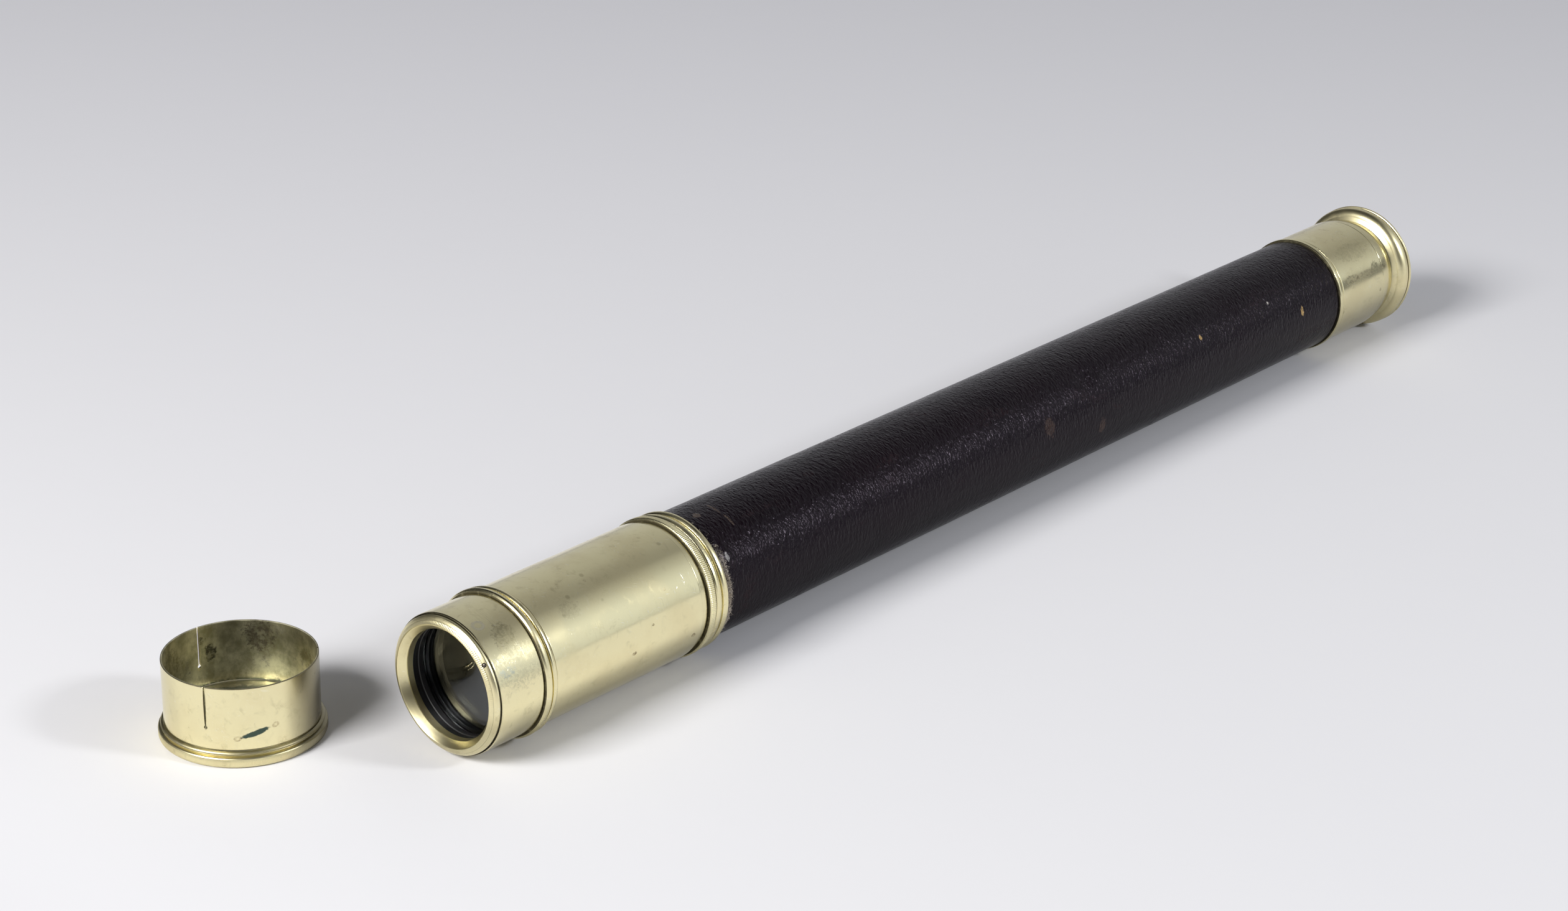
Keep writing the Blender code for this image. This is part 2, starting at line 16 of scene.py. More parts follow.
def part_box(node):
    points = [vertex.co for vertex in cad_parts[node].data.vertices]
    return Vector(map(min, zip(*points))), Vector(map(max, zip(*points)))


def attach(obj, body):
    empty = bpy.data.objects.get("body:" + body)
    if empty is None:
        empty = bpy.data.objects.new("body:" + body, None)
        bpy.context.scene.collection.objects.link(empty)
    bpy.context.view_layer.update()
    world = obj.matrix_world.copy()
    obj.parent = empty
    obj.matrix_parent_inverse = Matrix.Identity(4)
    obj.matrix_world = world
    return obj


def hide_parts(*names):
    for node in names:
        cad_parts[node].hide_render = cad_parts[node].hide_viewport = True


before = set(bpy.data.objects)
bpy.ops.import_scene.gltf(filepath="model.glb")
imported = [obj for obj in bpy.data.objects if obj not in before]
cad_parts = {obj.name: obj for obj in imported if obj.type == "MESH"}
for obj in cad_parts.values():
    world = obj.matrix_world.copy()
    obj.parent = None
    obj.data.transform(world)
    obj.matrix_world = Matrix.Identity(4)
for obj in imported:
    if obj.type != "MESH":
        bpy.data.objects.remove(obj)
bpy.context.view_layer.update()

MM = 0.001
FINE = 192                  # vertices round an ordinary turned piece
SMALL = 96                  # vertices round an inner or small one
CORNER_STEPS = 4            # pieces in each rounded corner
LENS_RINGS = 24             # rings of points on each face of a lens
SMOOTH_ANGLE = math.radians(50)
GUARD_REACH = 0.4           # extra points this far from each corner keep its shading local
END_DEPTH = 0.06            # how far from its ends a piece counts as end face

# The optical axis and the cap's axis, read from the frame
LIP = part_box("lens_ring")[0].x
AXIS_Y = sum(corner.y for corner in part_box("leather_cover")) / 2
AXIS_Z = sum(corner.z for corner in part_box("leather_cover")) / 2
CAP_AXIS = (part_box("cap_end")[0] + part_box("cap_end")[1]) / 2
AXIS_UP = AXIS_Z / MM       # height of the optical axis above the floor, in millimetres

# Radii and a height, in millimetres, that several pieces or marks share
LEATHER_RADIUS = 28.0
BARREL_BORE = 27.2          # inside the leather and the rear collar
COLLAR_RADIUS = 28.35       # the rear collar's plain part
SHADE_RADIUS = 29.6
SHADE_BORE = 29.15
SHADE_GUIDE = 28.3          # inside the joint ring and the shade's bush
CAP_RADIUS = 30.9
CAP_BORE = 30.25
CAP_MIDDLE = 30.6           # the middle of the cap's wall, where its slits are cut
PIVOT_UP = 10.5             # the shutter's pivot above the optical axis


def span(node):
    """A turned node's front and rear stations and its outer radius, in millimetres."""
    low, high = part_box(node)
    return (low.x - LIP) / MM, (high.x - LIP) / MM, (high.z - low.z) / 2 / MM


# ---------------------------------------------------------------- geometry

def soften(points, radius, closed=True):
    """Round an outline's corners, by at most radius and 45% of the shorter side."""
    count = len(points)
    result = []
    for i, point in enumerate(points):
        here = Vector(point)
        before = Vector(points[i - 1]) - here
        after = Vector(points[(i + 1) % count]) - here
        turn = math.pi - before.angle(after) if before.length and after.length else 0.0
        if turn < math.radians(8) or not closed and i in (0, count - 1):
            result.append(tuple(point))
            continue
        reach = min(radius * math.tan(turn / 2), 0.45 * before.length, 0.45 * after.length)
        start = here + before.normalized() * reach
        end = here + after.normalized() * reach
        guard = reach + GUARD_REACH
        if guard < 0.45 * before.length:
            point = here + before.normalized() * guard
            result.append((point.x, point.y))
        for step in range(CORNER_STEPS + 1):
            t = step / CORNER_STEPS
            bend = start * (1 - t) ** 2 + here * (2 * t * (1 - t)) + end * t ** 2
            result.append((bend.x, bend.y))
        if guard < 0.45 * after.length:
            point = here + after.normalized() * guard
            result.append((point.x, point.y))
    return result


def refine(points, longest, closed=True):
    """Split an outline's sides so that none is longer than longest."""
    result = []
    sides = len(points) if closed else len(points) - 1
    for i in range(sides):
        start, end = points[i], points[(i + 1) % len(points)]
        pieces = max(1, math.ceil(math.dist(start, end) / longest))
        for step in range(pieces):
            t = step / pieces
            result.append((start[0] + (end[0] - start[0]) * t, start[1] + (end[1] - start[1]) * t))
    if not closed:
        result.append(points[-1])
    return result


def hollowness(points, closed):
    """How sharply an outline turns at each point: above 0 in a groove, below 0 on an edge."""
    values = np.zeros(len(points))
    for i in range(0 if closed else 1, len(points) - (0 if closed else 1)):
        before = Vector(points[i]) - Vector(points[i - 1])
        after = Vector(points[(i + 1) % len(points)]) - Vector(points[i])
        if before.length > 1e-6 and after.length > 1e-6:
            values[i] = -before.angle_signed(after, 0.0)
    return values


def on_axis(station, across, up):
    """World coordinates from a place on the telescope; across is towards +Y."""
    return LIP + station * MM, AXIS_Y + across * MM, AXIS_Z + up * MM


def on_cap(height, across, along):
    """World coordinates from a place on the cap, whose stations are heights above the floor."""
    return CAP_AXIS.x + across * MM, CAP_AXIS.y + along * MM, height * MM


def add_object(name, data):
    """Put a mesh, lamp or camera in the scene as a new object."""
    obj = bpy.data.objects.new(name, data)
    bpy.context.scene.collection.objects.link(obj)
    return obj


def mesh_of(form, name):
    """Turn a bmesh into a mesh, and free it."""
    mesh = bpy.data.meshes.new(name)
    form.to_mesh(mesh)
    form.free()
    return mesh


def tidy_mesh(mesh):
    """Merge doubled points, face everything outwards and shade smooth up to SMOOTH_ANGLE."""
    work = bmesh.new()
    work.from_mesh(mesh)
    bmesh.ops.remove_doubles(work, verts=work.verts, dist=1e-7)
    bmesh.ops.recalc_face_normals(work, faces=work.faces)
    work.to_mesh(mesh)
    work.free()
    mesh.shade_smooth()
    mesh.set_sharp_from_angle(angle=SMOOTH_ANGLE)


def lathe(name, outer, inner=None, radius=0.25, segments=FINE, longest=None, shape=None,
          place=on_axis, shade_painted_ends=True, counts_inside=None):
    """Turn a piece.  outer and inner run front to rear; without inner, outer ends on the axis.

    shape(station, radius, angle, inside) gives an offset to the radius, for knurls and dents.
    Angle 0 is towards +Y (+X on the cap), and 90 degrees is up (+Y on the cap).  The end-face flag
    marks the end faces for painted shade, so that they show as dark lines between pieces.
    counts_inside(station, radius) says which points are inside where there is no inner outline to
    tell.
    """
    closed = inner is not None
    marked = list(outer) + (list(inner[::-1]) if closed else [])
    outline = soften(marked, radius, closed)
    if longest:
        outline = refine(outline, longest, closed)
    edge = hollowness(outline, closed)
    stations = np.array([p[0] for p in outline])
    # End faces count as fully hollow, so they get painted shade as dark lines between pieces
    if shade_painted_ends and closed:
        edge[(stations < stations.min() + END_DEPTH) | (stations > stations.max() - END_DEPTH)] = 1
    limit = (min(r for s, r in outer) + max(r for s, r in inner)) / 2 if closed else -1.0
    angles = np.arange(segments) * math.tau / segments
    grid_s = np.repeat(stations[:, None], segments, 1)
    grid_r = np.repeat(np.array([p[1] for p in outline])[:, None], segments, 1)
    grid_a = np.repeat(angles[None, :], len(outline), 0)
    inside = grid_r < limit
    if counts_inside:
        inside = counts_inside(grid_s, grid_r)
    if shape:
        grid_r = grid_r + shape(grid_s, grid_r, grid_a, inside)
    points = place(grid_s, grid_r * np.cos(grid_a), grid_r * np.sin(grid_a))
    verts = np.stack([np.broadcast_to(axis, grid_r.shape).ravel() for axis in points], 1)
    rows = len(outline)
    first = np.arange(rows if closed else rows - 1)[:, None]
    after = (first + 1) % rows
    column = np.arange(segments)
    right = (column + 1) % segments
    quads = np.stack([(first * segments + column).ravel(), (first * segments + right).ravel(),
                      (after * segments + right).ravel(), (after * segments + column).ravel()], 1)
    mesh = bpy.data.meshes.new(name)
    mesh.from_pydata(verts.tolist(), [], quads.tolist())
    for layer_name, values in (("hollow", edge), ("inside", inside[:, 0])):
        layer = mesh.attributes.new(layer_name, "FLOAT", "POINT")
        layer.data.foreach_set("value", np.repeat(values, segments).astype(np.float32))
    tidy_mesh(mesh)
    return add_object(name, mesh)


def knurl(front, rear, depth, teeth, skew=0.0):
    """Straight cuts between two stations on the outside, fading at both ends."""
    def shape(station, radius, angle, inside):
        middle, half = (front + rear) / 2, (rear - front) / 2
        fade = np.clip((half - np.abs(station - middle)) / (0.3 * half), 0, 1)
        wave = np.abs(np.sin(angle * teeth / 2 + skew * station))
        return np.where(inside, 0.0, -depth * fade * (1 - wave) ** 1.3)
    return shape


def worked(amount, scale, seed):
    """The slight unevenness of hand-worked sheet, as smooth noise over a tube."""
    def shape(station, radius, angle, inside):
        offset = np.zeros(station.shape)
        for index in np.ndindex(station.shape):
            r, a = radius[index], angle[index]
            spot = Vector((station[index] / 2, r * math.cos(a), r * math.sin(a))) / scale
            offset[index] = noise.noise(spot + Vector((seed, 0, 0)))
        return amount * offset
    return shape


def worked_outside(amount, scale, seed):
    """The same unevenness on a tube's outside only."""
    uneven = worked(amount, scale, seed)
    return lambda s, r, a, inside: np.where(inside, 0, 1) * uneven(s, r, a, inside)


def box_form(centre, turn, sizes):
    """A turned box to cut with: centre in metres, sizes in millimetres."""
    form = bmesh.new()
    bmesh.ops.create_cube(form, size=1.0, matrix=Matrix.Translation(centre) @ turn @
                          Matrix.Diagonal((*(size * MM for size in sizes), 1)))
    return form


def cylinder_form(centre, direction, radius, length, sides=24):
    """A plain cylinder to cut with, in metres."""
    turn = Vector(direction).to_track_quat("Z", "Y").to_matrix().to_4x4()
    form = bmesh.new()
    bmesh.ops.create_cone(form, cap_ends=True, segments=sides, radius1=radius, radius2=radius,
                          depth=length, matrix=Matrix.Translation(centre) @ turn)
    return form


def cut(obj, form):
    """Cut a bmesh form out of obj."""
    tool = add_object("form", mesh_of(form, "form"))
    modifier = obj.modifiers.new("cut", "BOOLEAN")
    modifier.operation = "DIFFERENCE"
    modifier.object = tool
    modifier.solver = "EXACT"
    bpy.context.view_layer.update()
    evaluated = obj.evaluated_get(bpy.context.evaluated_depsgraph_get())
    baked = bpy.data.meshes.new_from_object(evaluated)
    obj.modifiers.clear()
    obj.data = baked
    obj.data.shade_smooth()
    obj.data.set_sharp_from_angle(angle=SMOOTH_ANGLE)
    bpy.data.objects.remove(tool)


def plate(name, outline, front, rear, bevel=0.12):
    """A flat piece across the axis: outline in (across, up) millimetres from the optical axis."""
    form = bmesh.new()
    lower = [form.verts.new(on_axis(front, y, z)) for y, z in outline]
    face = form.faces.new(lower)
    thick = bmesh.ops.extrude_face_region(form, geom=[face])
    moved = [v for v in thick["geom"] if isinstance(v, bmesh.types.BMVert)]
    bmesh.ops.translate(form, verts=moved, vec=((rear - front) * MM, 0, 0))
    bmesh.ops.recalc_face_normals(form, faces=form.faces)
    rims = [e for e in form.edges if len({round(v.co.x, 7) for v in e.verts}) == 1]
    bmesh.ops.bevel(form, geom=rims, offset=bevel * MM, segments=3, affect="EDGES", profile=0.5)
    mesh = mesh_of(form, name)
    tidy_mesh(mesh)
    return add_object(name, mesh)


# ---------------------------------------------------------------- materials

class Nodes:
    """A short way to write node trees."""

    def __init__(self, owner):
        """Start the tree of a new material or world afresh."""
        owner.use_nodes = True
        self.owner = owner
        self.tree = owner.node_tree
        self.tree.nodes.clear()

    def add(self, kind, settings=None, **inputs):
        node = self.tree.nodes.new(kind)
        for key, value in (settings or {}).items():
            setattr(node, key, value)
        for key, value in inputs.items():
            self.put(node, key.replace("_", " "), value)
        return node

    def put(self, node, socket, value):
        target = node.inputs[int(socket) if socket.isdigit() else socket]
        if isinstance(value, bpy.types.NodeSocket):
            self.tree.links.new(value, target)
        else:
            target.default_value = value

    def math(self, operation, first, second=0.0, clamp=False):
        node = self.add("ShaderNodeMath", {"operation": operation, "use_clamp": clamp})
        self.put(node, "0", first)
        self.put(node, "1", second)
        return node.outputs[0]

    def plus(self, first, second, clamp=False):
        return self.math("ADD", first, second, clamp)

    def minus(self, first, second):
        return self.math("SUBTRACT", first, second)

    def times(self, *values):
        result = values[0]
        for value in values[1:]:
            result = self.math("MULTIPLY", result, value)
        return result

    def place(self, scale=(1, 1, 1), location=(0, 0, 0), rotation=(0, 0, 0)):
        """The object's own coordinates in metres, moved, turned and then scaled."""
        coordinates = self.add("ShaderNodeTexCoord")
        mapping = self.add("ShaderNodeMapping", {"vector_type": "POINT"},
                           Vector=coordinates.outputs["Object"])
        mapping.inputs["Scale"].default_value = scale
        mapping.inputs["Location"].default_value = [a * b for a, b in zip(location, scale)]
        mapping.inputs["Rotation"].default_value = rotation
        return mapping.outputs[0]

    def noise(self, scale, detail=3.0, rough=0.5, stretch=(1, 1, 1), distortion=0.0):
        node = self.add("ShaderNodeTexNoise", Vector=self.place(stretch), Scale=scale,
                        Detail=detail, Roughness=rough, Distortion=distortion)
        return node.outputs["Fac"]

    def band(self, value, low, high, start=0.0, end=1.0):
        """Map value smoothly from low..high to start..end."""
        if low > high:
            low, high, start, end = high, low, end, start
        node = self.add("ShaderNodeMapRange", {"interpolation_type": "SMOOTHSTEP"})
        for socket, number in zip("01234", (value, low, high, start, end)):
            self.put(node, socket, number)
        return node.outputs[0]

    def mix(self, factor, first, second):
        node = self.add("ShaderNodeMix", {"data_type": "RGBA"})
        for socket, value in zip("067", (factor, first, second)):
            self.put(node, socket, value)
        return node.outputs[2]

    def value_of(self, attribute):
        return self.add("ShaderNodeAttribute", {"attribute_name": attribute}).outputs["Fac"]

    def bump(self, height, distance, strength=1.0, normal=None):
        node = self.add("ShaderNodeBump", Height=height, Distance=distance, Strength=strength)
        if normal:
            self.put(node, "Normal", normal)
        return node.outputs[0]

    def reach(self, centre, sizes, wobble=0.0, turns=()):
        """Unevenly 1 on an ellipsoid's surface, less inside: centre in metres, sizes in mm."""
        vector = self.place(location=[-c for c in centre])
        for angles in turns:
            turned = self.add("ShaderNodeVectorRotate", {"rotation_type": "EULER_XYZ"},
                              Vector=vector)
            turned.inputs["Rotation"].default_value = angles
            vector = turned.outputs[0]
        scaled = self.add("ShaderNodeVectorMath", {"operation": "DIVIDE"})
        self.put(scaled, "0", vector)
        self.put(scaled, "1", [size * MM for size in sizes])
        length = self.add("ShaderNodeVectorMath", {"operation": "LENGTH"})
        self.put(length, "0", scaled.outputs[0])
        uneven = self.times(self.minus(self.noise(800, 3, 0.6), 0.5), wobble)
        return self.plus(length.outputs["Value"], uneven)

    def spot(self, centre, sizes, wobble=0.0, turns=()):
        """1 inside an ellipsoid, 0 outside, with a soft uneven edge."""
        return self.band(self.reach(centre, sizes, wobble, turns), 1.15, 0.8)

    def height_band(self, low, high, start=0.0, end=1.0):
        """Map the object's own height, in millimetres, smoothly from low..high to start..end."""
        parts = self.add("ShaderNodeSeparateXYZ", Vector=self.place())
        return self.band(parts.outputs[2], low * MM, high * MM, start, end)

    def scratches(self, lean, turn, scale=1500, share=0.69):
        """Fine straight scratches; lean tips the surface's normal up to Z, turn sets their run."""
        tipped = self.place(rotation=(math.radians(lean), 0, math.radians(turn)))
        drawn = self.add("ShaderNodeMapping", {"vector_type": "POINT"}, Vector=tipped)
        drawn.inputs["Scale"].default_value = (0.07, 1, 1)
        node = self.add("ShaderNodeTexNoise", Vector=drawn.outputs[0], Scale=scale, Detail=1.0)
        return self.band(node.outputs["Fac"], share, share + 0.05)

    def finish(self, **inputs):
        shader = self.add("ShaderNodeBsdfPrincipled")
        for key, value in inputs.items():
            self.put(shader, key.replace("_", " "), value)
        output = self.add("ShaderNodeOutputMaterial")
        self.tree.links.new(shader.outputs[0], output.inputs["Surface"])
        return self.owner


def new_nodes(name):
    """The node tree of a new material."""
    return Nodes(bpy.data.materials.new(name))


SLIT_ANGLES = (-37.0, 83.0, 203.0)  # azimuths of the cap's slits
SLIT_FOOT = 16.1            # height of the little hole that each slit ends in
SLIT_WIDTH = 0.6
SLIT_HOLE = 0.75
STAIN_AZIMUTH = 239.5
STAIN_HEIGHT = 13.9
SHADE_PAINTED_SIDE = -50        # azimuth of the cap's side that gets painted shade

BRASS = (0.90, 0.82, 0.50, 1)
BRASS_DEEP = (0.80, 0.695, 0.40, 1)
OLIVE = (0.46, 0.41, 0.23, 1)
# The next colour darkens grooves and end faces: partly grime, partly painted shade
GRIME_AND_SHADE = (0.06, 0.05, 0.028, 1)
VERDIGRIS = (0.03, 0.07, 0.065, 1)
SOOT = (0.008, 0.008, 0.009, 1)


def brass(name, roughness=0.15, worn=1.0, dull=0.0, grain=(1.0, 0.03, 0.03), underside_shade=0.66,
          underside_shade_top=-1.5, sooty=False, extra=None):
    """Polished brass with working marks along grain, faint blotches, specks, and grooves darkened
    by grime and painted shade.

    The underside gets painted shade: below the given height in millimetres above the optical axis,
    its colour falls to the given fraction of its brightness, and a sooty piece is black inside.
    extra(nodes, colour, rough) may lay stains and painted shade over the colour and roughness.
    """
    n = new_nodes(name)
    blotch = n.noise(48, 4, 0.55)
    fine_blotch = n.noise(230, 6, 0.65, distortion=0.5)
    patches = n.band(blotch, 0.42, 0.66)
    stained = n.times(n.band(fine_blotch, 0.52, 0.74), n.band(n.noise(30, 2), 0.35, 0.65, 0.35, 1))
    colour = n.mix(n.times(patches, 0.4 + 0.4 * dull), BRASS, BRASS_DEEP)
    colour = n.mix(n.times(stained, 0.36 * worn + 0.35 * dull), colour, OLIVE)

    # Small round spots of deeper tarnish, and a finer peppering
    cells = n.add("ShaderNodeTexVoronoi", Vector=n.place(), Scale=140.0)
    chance = n.add("ShaderNodeSeparateColor", Color=cells.outputs["Color"])
    rare = n.math("GREATER_THAN", chance.outputs[0], 0.90 - 0.1 * dull)
    spots = n.times(n.band(cells.outputs["Distance"], 0.20, 0.08), rare)
    colour = n.mix(n.times(spots, 0.5), colour, OLIVE)
    pepper = n.times(n.band(n.noise(1500, 3, 0.7), 0.64, 0.73), n.band(blotch, 0.42, 0.58))
    colour = n.mix(n.times(pepper, 0.45 * worn), colour, OLIVE)

    # Scratches, pale where they are fresh
    used = n.band(n.noise(75, 3), 0.44, 0.60)
    lines = n.math("MAXIMUM", n.scratches(-45, 24), n.scratches(-40, -62))
    lines = n.math("MAXIMUM", lines, n.scratches(-52, 80, 1900))
    lines = n.times(lines, used)
    colour = n.mix(n.times(lines, 0.5 * worn), colour, (0.97, 0.93, 0.74, 1))

    # Painted shade underneath: the colour darkens below the given height above the axis
    low = n.height_band(AXIS_UP - 11.0, AXIS_UP + underside_shade_top, underside_shade, 1.0)
    shade = n.add("ShaderNodeVectorMath", {"operation": "SCALE"}, Scale=low)
    n.put(shade, "0", colour)
    colour = shade.outputs[0]
    # Grooves and end faces darken almost to black: partly grime, partly painted shade in the
    # grooves and in the gaps between pieces
    hollow = n.value_of("hollow")
    grime_and_shade = n.times(n.band(hollow, 0.03, 0.22), n.band(fine_blotch, 0.2, 0.5, 0.6, 1))
    colour = n.mix(n.times(grime_and_shade, 0.92), colour, GRIME_AND_SHADE)
    rough = n.plus(roughness + 0.12 * dull, n.times(patches, 0.07))
    rough = n.plus(rough, n.times(stained, 0.12 + 0.1 * dull))
    rough = n.plus(rough, n.times(grime_and_shade, 0.35), clamp=True)
    if extra:
        colour, rough = extra(n, colour, rough)
    metal = 1.0
    if sooty:
        inside = n.value_of("inside")
        colour = n.mix(inside, colour, SOOT)
        rough = n.plus(rough, n.times(inside, 0.45), clamp=True)
        metal = n.minus(1.0, inside)

    marks = n.noise(7000, 2, 0.6, grain)
    cross_grain = tuple(0.03 if g == 1.0 else 1.0 for g in grain)
    hairs = n.times(n.band(n.noise(1700, 2, 0.6, cross_grain), 0.62, 0.70),
                    n.band(n.noise(60, 3), 0.5, 0.6))
    height = n.plus(n.times(marks, 0.3), n.times(hairs, 0.5 * worn))
    height = n.plus(height, n.times(lines, -0.8 * worn))
    normal = n.bump(height, 0.00002, 0.5)
    normal = n.bump(n.noise(34, 2, 0.4, (0.6, 1, 1)), 0.0008, 0.22 * worn, normal)
    specular = n.minus(0.5, n.times(n.value_of("inside"), 0.45)) if sooty else 0.5
    return n.finish(Base_Color=colour, Metallic=metal, Roughness=rough, Normal=normal,
                    Specular_IOR_Level=specular)


def on_tube(station, top, radius):
    """A place in metres from a station, an angle in degrees from the top towards -Y, and radius."""
    turn = math.radians(top)
    return on_axis(station, -radius * math.sin(turn), radius * math.cos(turn))


# Marks on the shade: station, angle, sizes in mm, colour and strength
SHADE_MARKS = (
    # The first mark is painted shade, a broad darker patch along the sleeve's side where its
    # highlight falls; the rest are tarnish and spots
    (16.0, 64.0, (13.0, 9.0, 9.0), (0.55, 0.51, 0.33, 1), 0.6),
    (16.0, 38.0, (5.5, 5.0, 5.0), (0.28, 0.25, 0.14, 1), 0.65),
    (12.0, 47.0, (3.0, 3.5, 3.5), (0.26, 0.23, 0.14, 1), 0.55),
    (9.0, 65.0, (4.5, 2.0, 2.0), (0.24, 0.30, 0.30, 1), 0.55),
    (50.0, 42.0, (5.0, 4.0, 4.0), (0.40, 0.36, 0.22, 1), 0.45),
    (77.0, 97.0, (1.3, 1.3, 0.9), (0.16, 0.10, 0.04, 1), 0.8),
    (88.0, 80.0, (0.8, 0.8, 0.6), (0.16, 0.10, 0.04, 1), 0.6),
    (113.0, 107.0, (1.3, 1.3, 0.9), (0.16, 0.10, 0.04, 1), 0.8),
    (99.0, 58.0, (0.7, 0.7, 0.7), (0.22, 0.16, 0.08, 1), 0.6),
    (66.0, 25.0, (0.8, 0.8, 0.8), (0.22, 0.16, 0.08, 1), 0.5),
)


def lay_marks(n, colour, rough, marks, radius, speckle, wobble, dulling):
    """Lay marks on a tube of that radius, broken up by speckle and rougher by dulling."""
    for station, top, sizes, tone, strength in marks:
        mark = n.spot(on_tube(station, top, radius), sizes, wobble)
        mark = n.times(mark, speckle, strength)
        colour = n.mix(mark, colour, tone)
        rough = n.plus(rough, n.times(mark, dulling))
    return colour, rough


def shade_marks(n, colour, rough):
    """Speckled tarnish, a few brown spots, a ring-shaped smear and a broad patch of painted shade
    on the shade.
    """
    speckle = n.band(n.noise(750, 4, 0.7), 0.42, 0.60, 0.25, 1)
    colour, rough = lay_marks(n, colour, rough, SHADE_MARKS, SHADE_RADIUS, speckle, 1.3, 0.2)
    reach = n.reach(on_tube(8.8, 22.6, SHADE_RADIUS), (2.6, 2.2, 2.2), 0.4)
    ring = n.times(n.band(reach, 0.45, 0.8), n.band(reach, 1.3, 0.95))
    colour = n.mix(n.times(ring, 0.35), colour, (0.93, 0.90, 0.80, 1))
    return colour, n.plus(rough, n.times(ring, 0.2), clamp=True)


# Marks on the rear collar, in the same terms
REAR_MARKS = (
    (612.0, 66.5, (6.0, 2.2, 2.2), (0.12, 0.10, 0.06, 1), 0.75),
    (625.0, 67.0, (9.0, 1.5, 1.8), (0.16, 0.13, 0.08, 1), 0.65),
    (634.0, 64.5, (3.0, 2.6, 3.2), (0.13, 0.12, 0.07, 1), 0.75),
    (641.0, 67.5, (3.5, 1.7, 1.7), (0.10, 0.085, 0.05, 1), 0.75),
    (622.0, 40.0, (14.0, 5.0, 5.0), (0.36, 0.33, 0.20, 1), 0.45),
    (637.0, 90.0, (0.7, 0.9, 0.9), (0.10, 0.08, 0.04, 1), 0.8),
)


def rear_marks(n, colour, rough):
    """A dark smear and some speckled tarnish along the rear collar."""
    speckle = n.band(n.noise(620, 4, 0.7), 0.40, 0.60, 0.35, 1)
    colour, rough = lay_marks(n, colour, rough, REAR_MARKS, COLLAR_RADIUS, speckle, 1.2, 0.25)
    return colour, n.plus(rough, 0.0, clamp=True)


def hole_grime_and_shade(n, colour, rough):
    """Brown grime and painted shade in and round the lens ring's screw hole."""
    low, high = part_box("ring_screw")
    near = n.spot((low + high) / 2, (1.35, 1.35, 1.35), wobble=0.3)
    colour = n.mix(near, colour, (0.035, 0.025, 0.014, 1))
    return colour, n.plus(rough, n.times(near, 0.3), clamp=True)


# Patches inside the cap: azimuth, height, sizes in mm, colour and strength
CAP_PATCHES = (
    (35.0, 27.0, (6.5, 6.5, 7.0), (0.10, 0.075, 0.075, 1), 0.85),
    (73.0, 21.0, (2.6, 2.6, 3.5), (0.03, 0.028, 0.025, 1), 0.95),
    (80.0, 27.0, (1.6, 1.6, 1.6), (0.03, 0.028, 0.025, 1), 0.8),
    (-10.0, 22.0, (3.0, 5.0, 4.0), (0.05, 0.045, 0.04, 1), 0.6),
    (118.0, 18.0, (9.0, 7.0, 11.0), (0.16, 0.14, 0.085, 1), 0.7),
)


